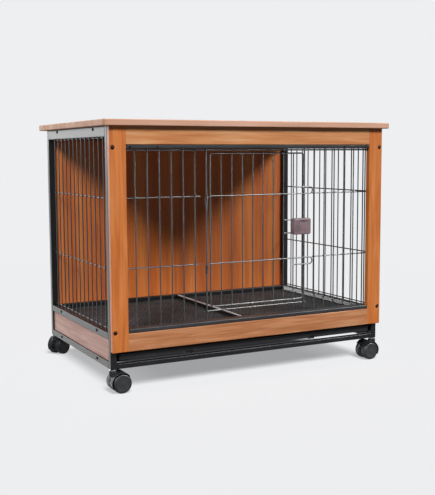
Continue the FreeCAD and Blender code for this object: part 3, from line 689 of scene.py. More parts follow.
class GeometryTool:
    """Geometry node tree with named inputs that turns a start mesh into a plain mesh."""

    def __init__(self, name: str, **inputs: str) -> None:
        """Make the tree with its group input.

        Args:
            name: Name of the tree.
            inputs: Kind of each named input: Vector, Int, Float or Object.
        """
        self.tree = bpy.data.node_groups.new(name, "GeometryNodeTree")
        sockets = [("Geometry", "INPUT", "Geometry")]
        sockets += [(label, "INPUT", kind) for label, kind in inputs.items()]
        sockets += [("Material", "INPUT", "Material"), ("Geometry", "OUTPUT", "Geometry")]
        for label, way, kind in sockets:
            self.tree.interface.new_socket(label, in_out=way, socket_type=f"NodeSocket{kind}")
        self.given = add_node(self.tree, "NodeGroupInput").outputs

    def node(self, kind: str, inputs: dict[str, Any], out: str | int = 0, **settings: Any) -> Socket:
        """Add a geometry node and return one of its outputs, as flow does."""
        return flow(self.tree, f"GeometryNode{kind}", inputs, out, **settings)

    def line(self, start: Any, step: Socket, count: Socket) -> Socket:
        """Add a line of points from its start, the step between them and their count."""
        return self.node("MeshLine", {"Count": count, "Start Location": start, "Offset": step}, mode="OFFSET")

    def close(self, geometry: Socket) -> None:
        """End the tree: real geometry with its material."""
        real = self.node("RealizeInstances", {"Geometry": geometry})
        dressed = self.node("SetMaterial", {"Geometry": real, "Material": self.given["Material"]})
        add_node(self.tree, "NodeGroupOutput", {"Geometry": dressed})

    def run(self, start: Mesh, finish: Finish, **values: Any) -> Mesh:
        """Run the tree on a mesh.

        Args:
            start: Mesh that the tree is given.
            finish: Finish of the result.
            values: Value of each named input; a mesh becomes an object for the time of the run.

        Returns:
            Plain mesh; the given ones are removed.
        """
        carrier = put("carrier", start)
        modifier = carrier.modifiers.new("tree", "NODES")
        modifier.node_group = self.tree
        values["Material"] = finish.material()
        spare = [carrier]
        for item in self.tree.interface.items_tree:
            if item.in_out == "INPUT" and item.name in values:
                value = values[item.name]
                if isinstance(value, Mesh):
                    value = put("template", value)
                    spare.append(value)
                modifier[item.identifier] = value
        mesh = evaluated(carrier)
        carrier.modifiers.remove(modifier)
        discard(spare)
        return mesh


class WireRow(GeometryTool):
    """Row of straight wires at a steady pitch."""

    def __init__(self) -> None:
        """Build the tree: a cylinder on each point of a line."""
        kinds = {"First": "Vector", "Step": "Vector", "Count": "Int", "Turn": "Vector"}
        super().__init__("wire_row", **kinds, Length="Float", Radius="Float")
        given = self.given
        line = self.line(given["First"], given["Step"], given["Count"])
        size = {"Vertices": WIRE_SIDES, "Radius": given["Radius"], "Depth": given["Length"]}
        wire = self.node("MeshCylinder", size)
        places = {"Points": line, "Instance": wire, "Rotation": given["Turn"]}
        self.close(self.node("InstanceOnPoints", places))

    def row(self, start: Point, end: Point, across: float, step: Point = (0, 0, 0), count: int = 1) -> Mesh:
        """Make a row from its first wire.

        Args:
            start: One end of the first wire.
            end: Its other end.
            across: Wire diameter.
            step: Shift to the next wire.
            count: Number of wires.

        Returns:
            Mesh of the row.
        """
        first, last = Vector(start), Vector(end)
        return self.run(
            points_mesh([first]),
            WIRE_COAT,
            First=(first + last) / 2,
            Step=Vector(step),
            Count=count,
            Turn=Vector((last - first).to_track_quat("Z", "Y").to_euler()),
            Length=(last - first).length,
            Radius=across / 2,
        )


class BentWire(GeometryTool):
    """Wire along a path with its corners bent round."""

    bend_steps = 8

    def __init__(self) -> None:
        """Build the tree: the path with filleted corners, swept by a circle."""
        super().__init__("bent_wire", Radius="Float", Bend="Float")
        path = self.node("MeshToCurve", {"Mesh": self.given["Geometry"]})
        bend = {"Curve": path, "Count": self.bend_steps, "Radius": self.given["Bend"]}
        bent = self.node("FilletCurve", bend, mode="POLY")
        circle = self.node(
            "CurvePrimitiveCircle", {"Resolution": WIRE_SIDES, "Radius": self.given["Radius"]}, "Curve"
        )
        self.close(self.node("CurveToMesh", {"Curve": bent, "Profile Curve": circle, "Fill Caps": True}))

    def wire(self, points: Sequence[Point], bend: float, across: float, closed: bool = False) -> Mesh:
        """Make a wire through points.

        Args:
            points: Ends and corners in order.
            bend: Bend radius along the middle of the wire.
            across: Wire diameter.
            closed: Whether the wire returns to its start.

        Returns:
            Mesh of the wire.
        """
        return self.run(points_mesh(points, True, closed), WIRE_COAT, Radius=across / 2, Bend=bend)


class HeadsOnPoints(GeometryTool):
    """Copies of a fastener on points, all facing one way."""

    def __init__(self) -> None:
        """Build the tree: the given fastener on each point."""
        super().__init__("fasteners_on_points", Fastener="Object", Turn="Vector")
        shape = self.node("ObjectInfo", {"Object": self.given["Fastener"]}, "Geometry")
        places = {"Points": self.given["Geometry"], "Instance": shape, "Rotation": self.given["Turn"]}
        self.close(self.node("InstanceOnPoints", places))

    def place(self, shape: Mesh, points: Sequence[Point], facing: Point, finish: Finish) -> Mesh:
        """Put a fastener on points.

        Args:
            shape: Fastener with its axis on Z and its seat at zero.
            points: Seats.
            facing: Direction in which the heads look.
            finish: Finish of the fasteners.

        Returns:
            Mesh of all of them.
        """
        turn = Vector(Vector(facing).to_track_quat("Z", "Y").to_euler())
        return self.run(points_mesh(points), finish, Fastener=shape, Turn=turn)


class CellGrid(GeometryTool):
    """Copies of a cell in rows and columns."""

    def __init__(self) -> None:
        """Build the tree: the given cell on a line of points, and that row on a line across it."""
        kinds = {"Cell": "Object", "First": "Vector", "Step": "Vector", "Columns": "Int"}
        super().__init__("cell_grid", **kinds, Across="Vector", Rows="Int")
        given = self.given
        cell = self.node("ObjectInfo", {"Object": given["Cell"]}, "Geometry")
        columns = self.line(given["First"], given["Step"], given["Columns"])
        row = self.node("InstanceOnPoints", {"Points": columns, "Instance": cell})
        rows = self.line((0.0, 0.0, 0.0), given["Across"], given["Rows"])
        self.close(self.node("InstanceOnPoints", {"Points": rows, "Instance": row}))

    def fill(self, cell: Mesh, first: Vector, steps: tuple[Run, Run], finish: Finish) -> Mesh:
        """Fill a grid with cells.

        Args:
            cell: Mesh of one cell.
            first: Place of the first cell.
            steps: Pitch and number of cells along X, and the same along Y.
            finish: Finish of the cells.

        Returns:
            Mesh of all the cells.
        """
        (step, columns), (across, rows) = steps
        return self.run(
            points_mesh([first]),
            finish,
            Cell=cell,
            First=first,
            Step=Vector((step, 0, 0)),
            Columns=columns,
            Across=Vector((0, across, 0)),
            Rows=rows,
        )


@dataclass
class WoodPanels:
    """Top panel, the four front boards with their bolt recesses, and the thin rear and lower panels."""

    edge: float = 0.0012
    top_edge: float = 0.0022
    top_corner: float = 0.008
    recess_radius: float = 0.0054
    recess_depth: float = 0.003
    recess_flare: float = 0.0006
    recess_sides: int = 32

    def recess(self, seat: Vector) -> Mesh:
        """Make the cutter of a bolt recess with a slightly flared mouth.

        Args:
            seat: Middle of the mouth on the front face.

        Returns:
            Closed mesh that looks along -Y.
        """
        radius, depth, flare = self.recess_radius, self.recess_depth, self.recess_flare
        profile = [(0, -depth), (radius, -depth), (radius, -flare), (radius + flare, 0)]
        profile += [(radius + flare, depth), (0, depth)]
        place = Matrix.Translation(seat) @ Matrix.Rotation(QUARTER_TURN, 4, "X")
        return lathe(profile, self.recess_sides, place)

    def build(self, bolt_seats: Sequence[Vector]) -> None:
        """Make and dress the boards.

        Args:
            bolt_seats: Middle of each stile bolt on the front face of the stiles.
        """
        low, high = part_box("top_panel")
        dress("top_panel_board", slab(low, high, self.top_edge, self.top_corner), TOP_WOOD, ["top_panel"])
        for side in SIDES:
            node = f"front_{side}_stile"
            low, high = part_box(node)
            recesses = [self.recess(seat) for seat in bolt_seats if low.x < seat.x < high.x]
            dress(f"{node}_board", cut(slab(low, high, self.edge), recesses), STILE_WOOD, [node])
        plain = {
            "front_top_board": BOARD_WOOD,
            "front_bottom_board": LOWER_BOARD_WOOD,
            "rear_panel": REAR_WOOD_PAINTED_BRIGHT,
            "left_lower_panel": SIDE_WOOD_PAINTED_PALE,
            "right_lower_panel": SIDE_WOOD_PAINTED_PALE,
            "rear_lower_panel": REAR_LOW_WOOD,
        }
        for node, finish in plain.items():
            dress(f"{node}_board", slab(*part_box(node), self.edge), finish, [node])


@dataclass
class SteelFrame:
    """Posts, rails and grille bars of square tube, and the small steel parts behind them."""

    corner: float = 0.002
    wall: float = 0.0012

    def bar(self, node: str, nose_low: float, nose_high: float) -> None:
        """Make and dress a grille bar: a tube with a nose that shows between the boards.

        Args:
            node: Node of the bar.
            nose_low: Lower face of the nose.
            nose_high: Upper face of the nose.
        """
        low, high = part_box(node)
        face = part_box("front_left_post")[0].y
        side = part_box("front_right_stile")[0].x
        body = tube((low.x, face, low.z), high, Axis.X, self.corner, self.wall)
        nose = slab((-side, low.y, nose_low), (side, face + self.corner, nose_high), self.corner)
        # The bar's coat is painted a shade lighter for the sheen on its nose
        dress(f"{node}_tube", joined([body, nose]), BAR_SHEEN_COAT, [node])

    def build(self) -> dict[str, Piece]:
        """Make the tubes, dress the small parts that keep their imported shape, and return the tubes."""
        tubes = {f"{corner}_post": Axis.Z for corner in CORNERS}
        for level in ("top", "mid", "bottom"):
            tubes.update({f"left_{level}_rail": Axis.Y, f"right_{level}_rail": Axis.Y})
            tubes[f"rear_{level}_rail"] = Axis.X
        tubes.update({"front_top_rail": Axis.X, "front_bottom_rail": Axis.X})
        pieces = {}
        for node, axis in tubes.items():
            shape = tube(*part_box(node), axis, self.corner, self.wall)
            pieces[node] = dress(f"{node}_tube", shape, POWDER_COAT, [node])
        self.bar("grille_top_bar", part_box("grille_top_bar")[0].z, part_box("front_top_board")[0].z)
        self.bar("grille_bottom_bar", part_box("front_bottom_board")[1].z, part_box("grille_bottom_bar")[1].z)
        for node in ("floor_ledges", "tray_runners", "top_brackets"):
            finish_node(node, POWDER_COAT)
        finish_node("post_plugs", PLUG_PLASTIC)
        return pieces


@dataclass
class Fasteners:
    """Button-head bolts in the stiles and side rails, and the small screws on the upper grille bar."""

    placer: HeadsOnPoints
    seat_depth: float = 0.003
    stile_head: Flat = (0.0094, 0.0025)  # width and rise of a head
    rail_head: Flat = (0.008, 0.0022)
    screw_head: Flat = (0.006, 0.0016)
    rail_drop: float = 0.006  # below the top of its rail
    screw_drop: float = 0.005  # below the top board
    screw_insets: Flat = (0.052, 0.122)  # from the outer face of the posts
    sides: int = 24
    dome_turns: tuple[float, ...] = (0.0, 0.4, 0.75, 1.05)  # angles up the dome
    rim: float = 0.25  # height of the rim, as a part of the head's
    shank: float = 0.55  # as a part of the head's radius
    socket: float = 0.42
    socket_floor: float = 0.4
    socket_sides: int = 6

    def stile_seats(self) -> list[Vector]:
        """Return the middle of each stile bolt on the front face of the stiles."""
        low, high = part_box("stile_bolts")
        half = self.stile_head[0] / 2
        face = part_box("front_left_stile")[0].y
        rows = (low.z + half, high.z - half)
        return [Vector((x, face, z)) for x in (low.x + half, high.x - half) for z in rows]

    def heads(self, size: Flat, seats: Sequence[Vector], facing: Point) -> Mesh:
        """Make domed heads with a hex socket and a short shank.

        Args:
            size: Width and rise of a head.
            seats: Where the heads sit.
            facing: Direction in which they look.

        Returns:
            Mesh of all of them.
        """
        radius, rise = size[0] / 2, size[1]
        shank, socket = self.shank * radius, self.socket * radius
        profile = [(0, -rise), (shank, -rise), (shank, 0), (radius, 0)]
        for turn in self.dome_turns:
            profile.append((radius * math.cos(turn), rise * (self.rim + (1 - self.rim) * math.sin(turn))))
        shape = lathe(profile + [(0, rise)], self.sides)
        hole = lathe(rod(socket, self.socket_floor * rise, 2 * rise), self.socket_sides)
        return self.placer.place(cut(shape, [hole]), seats, facing, BLACK_OXIDE)

    def build(self) -> None:
        """Make and dress all the fasteners."""
        front = (0, -1, 0)
        sunk = [seat + Vector((0, self.seat_depth, 0)) for seat in self.stile_seats()]
        bolts = self.heads(self.stile_head, sunk, front)
        dress("stile_bolts_heads", bolts, BLACK_OXIDE, ["stile_bolts"])
        low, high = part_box("rail_bolts")
        half = self.rail_head[0] / 2
        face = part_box("right_top_rail")[1].x
        levels = [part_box(f"left_{level}_rail")[1].z - self.rail_drop for level in ("top", "mid", "bottom")]
        groups = []
        for side in (-1, 1):
            seats = [Vector((side * face, y, z)) for y in (low.y + half, high.y - half) for z in levels]
            groups.append(self.heads(self.rail_head, seats, (side, 0, 0)))
        dress("rail_bolts_heads", joined(groups), BLACK_OXIDE, ["rail_bolts"])
        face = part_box("grille_top_bar")[0].y
        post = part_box("front_right_post")[1].x
        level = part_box("front_top_board")[0].z - self.screw_drop
        places = [side * (post - inset) for side in (-1, 1) for inset in self.screw_insets]
        screws = self.heads(self.screw_head, [Vector((x, face, level)) for x in places], front)
        dress("grille_bar_screws", screws, BLACK_OXIDE)


@dataclass
class WireGrilles:
    """Fixed wire grilles: front left and right of the door, the door opening, and the two sides."""

    rows: WireRow
    pitch: float = 0.0314
    strike_x: float = 0.1565
    left_cross_end: float = -0.146
    right_cross_start: float = 0.1847
    left_count: int = 7
    right_count: int = 6
    side_count: int = 13
    side_levels: tuple[float, ...] = (*CROSS_LEVELS, 0.1505, 0.6049)
    header_z: float = 0.5755
    sill_z: float = 0.1748
    sill_past: float = 0.0056  # past the wires at the sides of the opening
    sink: float = 0.002  # how far wire ends run into what they are welded to

    def front(self) -> list[Piece]:
        """Make and return the two front grilles."""
        row = self.rows.row
        low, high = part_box("front_grille_left")
        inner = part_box("front_right_post")[0].x
        y = middle("front_right_post").y
        foot, head = low.z - self.sink, high.z + self.sink
        spans = {
            "left": (-inner - self.sink, self.left_cross_end, HINGE_X, -self.pitch, self.left_count),
            "right": (self.right_cross_start, inner + self.sink, self.strike_x, self.pitch, self.right_count),
        }
        upper, lower = CROSS_LEVELS
        pieces = []
        for side, (start, end, edge, step, count) in spans.items():
            first, behind = edge + step, y + WIRE
            shapes = [
                row((first, y, foot), (first, y, head), WIRE, (step, 0, 0), count),
                row((edge, y, foot), (edge, y, head), FRAME_WIRE),
                row((start, behind, upper), (end, behind, upper), WIRE, (0, 0, lower - upper), 2),
            ]
            node = f"front_grille_{side}"
            pieces.append(dress(f"{node}_wires", joined(shapes), WIRE_COAT, [node]))
        return pieces

    def opening(self) -> Piece:
        """Make the header and sill wires behind the uprights, and return them as one piece."""
        low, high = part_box("door_opening_wires")
        y = (low.y + high.y) / 2
        spans = {
            self.header_z: (low.x, high.x),
            self.sill_z: (HINGE_X - self.sill_past, self.strike_x + self.sill_past),
        }
        shapes = []
        for z, (start, end) in spans.items():
            shapes.append(self.rows.row((start, y, z), (end, y, z), FRAME_WIRE))
        return dress("door_opening_wires_pair", joined(shapes), WIRE_COAT, ["door_opening_wires"])

    def sides(self) -> None:
        """Make the left and right wire panels."""
        bay_front, bay_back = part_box("front_left_post")[1].y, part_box("rear_left_post")[0].y
        step = (bay_back - bay_front) / (self.side_count + 1)
        start = bay_front + step
        for side, sign in zip(SIDES, (-1, 1)):
            node = f"{side}_wire_panel"
            low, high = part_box(node)
            x = middle(f"{side}_mid_rail").x
            inside = x - sign * WIRE
            ends = ((x, start, low.z - self.sink), (x, start, high.z + self.sink))
            shapes = [self.rows.row(*ends, WIRE, (0, step, 0), self.side_count)]
            for level in self.side_levels:
                ends = ((inside, bay_front - self.sink, level), (inside, bay_back + self.sink, level))
                shapes.append(self.rows.row(*ends, WIRE))
            dress(f"{node}_wires", joined(shapes), WIRE_COAT, [node])

    def build(self) -> list[Piece]:
        """Make and dress all the fixed grilles, and return the front ones."""
        self.sides()
        return [*self.front(), self.opening()]


@dataclass
class WireDoor:
    """Wire door: bent frame, uprights, cross wires with hooks and hairpins, hinge sleeves, latch guides."""

    rows: WireRow
    bends: BentWire
    left: float = -0.12
    right: float = 0.152
    low: float = 0.1865
    high: float = 0.567
    plane: float = -0.2282
    cross_plane: float = -0.2314
    gaps: int = 9
    corner: float = 0.007
    hinge_y: float = -0.2265
    tip_x: float = 0.1785
    rise: float = 0.017
    hook_drop: float = 0.012
    bend: float = 0.0075
    sleeve_length: float = 0.022
    sleeve_radius: float = 0.0038
    sleeve_bore: float = 0.00205
    sleeve_edge: float = 0.0006
    sleeve_sides: int = 24
    guide_z: Flat = (0.361, 0.395)

    def cross_wire(self, level: float, turn: int, back_end: float) -> Mesh:
        """Make a cross wire with its hook and hairpin.

        Args:
            level: Height of the wire.
            turn: 1 where the hairpin goes up, -1 where it goes down.
            back_end: Where the hairpin ends.

        Returns:
            Mesh of the wire.
        """
        other = level + turn * self.rise
        path = [(HINGE_X, level - self.hook_drop), (HINGE_X, level), (self.tip_x, level)]
        path += [(self.tip_x, other), (back_end, other)]
        return self.bends.wire([(x, self.cross_plane, z) for x, z in path], self.bend, WIRE)

    def sleeve(self, level: float) -> Mesh:
        """Make a hinge sleeve just below a cross wire, with its edges eased."""
        top, bore, edge = level - WIRE, self.sleeve_bore, self.sleeve_edge
        low, outer = top - self.sleeve_length, self.sleeve_radius
        profile = [(bore, low), (outer - edge, low), (outer, low + edge), (outer, top - edge)]
        profile += [(outer - edge, top), (bore, top), (bore, low)]
        return lathe(profile, self.sleeve_sides, Matrix.Translation((HINGE_X, self.hinge_y, 0)))

    def build(self) -> Piece:
        """Make and dress the door, and return it."""
        pitch = (self.right - self.left) / self.gaps
        first, y, guide_y = self.left + pitch, self.plane, self.cross_plane
        corners = [(x, y, self.low) for x in (self.left, self.right)]
        corners += [(x, y, self.high) for x in (self.right, self.left)]
        shapes = [
            self.bends.wire(corners, self.corner, FRAME_WIRE, closed=True),
            self.rows.row((first, y, self.low), (first, y, self.high), WIRE, (pitch, 0, 0), self.gaps - 1),
        ]
        for level, turn in zip(CROSS_LEVELS, (1, -1)):
            shapes.append(self.cross_wire(level, turn, self.right - pitch - WIRE))
            shapes.append(self.sleeve(level))
        low, high = self.guide_z
        ends = ((self.right - 2 * pitch, guide_y, low), (self.right, guide_y, low))
        shapes.append(self.rows.row(*ends, WIRE, (0, 0, high - low), 2))
        return dress("door_grille_wires", joined(shapes), WIRE_COAT, ["door_grille"], "door")


@dataclass
class Latch:
    """Moulded grip with ribs and a thumb scoop, and the tongue behind the door wires."""

    edge: float = 0.003
    corner: float = 0.005
    edge_steps: int = 4
    scoop_radius: float = 0.034
    scoop_depth: float = 0.003
    scoop_height: float = 0.03
    scoop_inset: float = 0.031
    scoop_sides: int = 96
    rib_count: int = 5
    rib_pitch: float = 0.004
    rib_width: float = 0.002
    rib_depth: float = 0.0008
    groove: float = 0.0042
    groove_depth: float = 0.0028
    guide_spacing: float = 0.034

    def build(self) -> None:
        """Make and dress the grip and the tongue."""
        low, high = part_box("latch_grip")
        center = (low.z + high.z) / 2
        foot, head = center - self.scoop_height / 2, center + self.scoop_height / 2
        radius = self.scoop_radius
        hollow = Matrix.Translation((low.x + self.scoop_inset, low.y + self.scoop_depth - radius, 0))
        scoop = lathe(rod(radius, foot, head), self.scoop_sides, hollow)
        ribs = []
        for index in range(self.rib_count):
            x = low.x + self.edge + index * self.rib_pitch
            rib_high = (x + self.rib_width, low.y + self.rib_depth, head)
            ribs.append(slab((x, low.y - self.edge, foot), rib_high, self.rib_depth / 3))
        channels = []
        for step in (-0.5, 0.5):
            guide = center + step * self.guide_spacing
            channel_low = (low.x - self.edge, high.y - self.groove_depth, guide - self.groove / 2)
            channel_high = (high.x + self.edge, high.y + self.edge, guide + self.groove / 2)
            channels.append(slab(channel_low, channel_high, self.rib_depth))
        block = slab(low, high, self.edge, self.corner, Axis.Y, self.edge_steps)
        for cutters in ([scoop], ribs, channels):
            block = cut(block, cutters)
        dress("latch_grip_block", block, LATCH_PLASTIC, ["latch_grip"], "latch")
        finish_node("latch_tongue", LATCH_PLASTIC)


@dataclass
class Floor:
    """Perforated floor in two halves with a hemmed border, and the bar between them."""

    grid: CellGrid
    pitch: float = 0.0115
    row_pitch: float = 0.01
    hole: float = 0.0068
    rim: float = 0.0004
    hem: float = 0.006
    hem_rise: float = 0.0004
    hem_edge: float = 0.0005
    hole_sides: int = 8
    merge: float = 0.00002  # cells closer than this share their points
    web: float = 0.005
    flange_edge: float = 0.0008
    web_edge: float = 0.0004
    crest: float = 0.003
    crest_edge: float = 0.001

    def cell(self, thickness: float) -> Mesh:
        """Make a cell: a plate with a round hole whose rims are eased, without outer walls.

        Args:
            thickness: Thickness of the sheet.

        Returns:
            Mesh with its lower face at zero.
        """
        build = bmesh.new()
        x, y = self.pitch / 2, self.row_pitch / 2
        border = [(x, 0), (x, y), (0, y), (-x, y), (-x, 0), (-x, -y), (0, -y), (x, -y)]
        radius, wide = self.hole / 2, self.hole / 2 + self.rim
        turns = [FULL_TURN * index / self.hole_sides for index in range(self.hole_sides)]
        rims = [(0.0, wide), (self.rim, radius), (thickness - self.rim, radius), (thickness, wide)]
        levels = [[(reach * math.cos(t), reach * math.sin(t), z) for t in turns] for z, reach in rims]
        levels.insert(0, [(u, v, 0.0) for u, v in border])
        levels.append([(u, v, thickness) for u, v in border])
        rings = [[build.verts.new(point) for point in level] for level in levels]
        for first, second in zip(rings, rings[1:]):
            for index in range(self.hole_sides):
                after = (index + 1) % self.hole_sides
                build.faces.new((first[index], second[index], second[after], first[after]))
        return new_mesh(build, outward=False)

    def half_plate(self, thickness: float) -> Mesh:
        """Make the plain half cell that ends a shifted row: an upper and a lower face."""
        build = bmesh.new()
        x, y = self.pitch / 4, self.row_pitch / 2
        ring = [(x, 0), (x, y), (-x, y), (-x, 0), (-x, -y), (x, -y)]
        build.faces.new([build.verts.new((u, v, thickness)) for u, v in ring])
        build.faces.new([build.verts.new((u, v, 0.0)) for u, v in reversed(ring)])
        return new_mesh(build, outward=False)

    def half(self, node: str) -> None:
        """Make and dress one half of the floor, with every second row shifted by half a cell.

        Args:
            node: Node of the half.
        """
        low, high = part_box(node)
        hem, pitch, row_pitch = self.hem, self.pitch, self.row_pitch
        columns = math.floor((high.x - low.x - 2 * hem) / pitch) + 1
        pairs = math.floor((high.y - low.y - 2 * hem) / row_pitch / 2) + 1
        x = (low.x + high.x - columns * pitch + pitch) / 2
        y = (low.y + high.y - 2 * pairs * row_pitch + row_pitch) / 2
        thickness = high.z - low.z
        rows = (2 * row_pitch, pairs)
        ends = (columns - 0.5) * pitch
        parts = (
            (self.cell(thickness), (x, y), (pitch, columns)),
            (self.cell(thickness), (x + pitch / 2, y + row_pitch), (pitch, columns - 1)),
            (self.half_plate(thickness), (x - pitch / 4, y + row_pitch), (ends, 2)),
        )
        cells = []
        for mesh, first, steps in parts:
            cells.append(self.grid.fill(mesh, Vector((*first, low.z)), (steps, rows), FLOOR_SHEEN_COAT))
        shapes = [joined(cells, self.merge)]
        strips = (
            ((low.x, low.y), (high.x, low.y + hem)),
            ((low.x, high.y - hem), (high.x, high.y)),
            ((low.x, low.y + hem), (low.x + hem, high.y - hem)),
            ((high.x - hem, low.y + hem), (high.x, high.y - hem)),
        )
        for start, end in strips:
            shapes.append(slab((*start, low.z), (*end, high.z + self.hem_rise), self.hem_edge, steps=2))
        dress(f"{node}_sheet", joined(shapes), FLOOR_SHEEN_COAT, [node])

    def build(self) -> None:
        """Make and dress both halves and the bar between them."""
        for side in SIDES:
            self.half(f"floor_mesh_{side}")
        low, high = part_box("floor_center_bar")
        flange_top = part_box("floor_mesh_left")[0].z
        flange = slab(low, (high.x, high.y, flange_top), self.flange_edge)
        foot, half = high.z - self.crest, self.web / 2
        web = slab((-half, low.y, low.z), (half, high.y, foot), self.web_edge)
        dress("floor_center_bar_tee", joined([flange, web]), POWDER_COAT, ["floor_center_bar"])
        # Painted highlight: a pale strip along the crest of the bar
        crest = slab((-half, low.y, foot), (half, high.y, high.z), self.crest_edge)
        dress("floor_center_bar_crest", crest, CREST_HIGHLIGHT_COAT)


@dataclass
class PullOutTray:
    """Shallow tray with round corners, a turned-out lip, skids and two notches in its front."""

    lip: float = 0.003
    lip_thickness: float = 0.002
    lip_edge: float = 0.0005
    wall: float = 0.002
    front_wall: float = 0.006
    foot_radius: float = 0.002  # where the walls meet the floor
    foot_step: float = 0.0006
    corner: float = 0.009
    corner_steps: int = 6
    skid_height: float = 0.0037
    skid_width: float = 0.018
    skid_x: float = 0.182
    skid_edge: float = 0.001
    notch_height: float = 0.005
    notch_depth: float = 0.005
    notch_edge: float = 0.00025

    def pan(self, low: Vector, high: Vector) -> Mesh:
        """Make the pan from its outer foot, over the lip, to its inner floor.

        Args:
            low: Lowest corner of the tray.
            high: Highest corner of the tray.

        Returns:
            Closed mesh.
        """
        base = low.z + self.skid_height
        thin, lip, under = self.lip_edge, self.lip, high.z - self.lip_thickness
        foot = [(-self.foot_radius, 0.0), (-self.foot_step, self.foot_step), (0.0, self.foot_radius)]
        outside = [(outset, base + rise) for outset, rise in foot]
        outside += [(0.0, under), (lip - thin, under), (lip, under + thin)]
        outside += [(lip, high.z - thin), (lip - thin, high.z)]
        inside = [(-self.wall + thin, high.z), (-self.wall, high.z - thin)]
        inside += [(-self.wall + outset, base + self.wall + rise) for outset, rise in reversed(foot)]
        center = (low + high) / 2
        rings = []
        for steps, thick in ((outside, 0.0), (inside, self.front_wall - self.wall)):
            for outset, z in steps:
                grow = 2 * (outset - lip)
                size = (high.x - low.x + grow, high.y - low.y + grow - thick)
                outline = rounded_outline(*size, self.corner + outset, self.corner_steps)
                rings.append([Vector((center.x + u, center.y + thick / 2 + v, z)) for u, v in outline])
        return loft(rings, caps=True)

    def build(self) -> Piece:
        """Make and dress the tray, and return it."""
        low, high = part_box("tray")
        base = low.z + self.skid_height
        front, half = low.y + self.lip, self.skid_width / 2
        notch_end = front + self.notch_depth
        cutters = []
        for x in (-self.skid_x, self.skid_x):
            notch_low = (x - half, front - self.lip, base - self.notch_height)
            cutters.append(slab(notch_low, (x + half, notch_end, base + self.notch_height), self.notch_edge))
        shapes = [cut(self.pan(low, high), cutters)]
        runner_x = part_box("front_right_post")[0].x - self.skid_width
        for x in (-runner_x, -self.skid_x, self.skid_x, runner_x):
            skid_high = (x + half, high.y - self.lip, base + self.wall / 2)
            shapes.append(slab((x - half, notch_end, low.z), skid_high, self.skid_edge))
        return dress("tray_pan", joined(shapes), TRAY_PLASTIC, ["tray"], "tray_body")


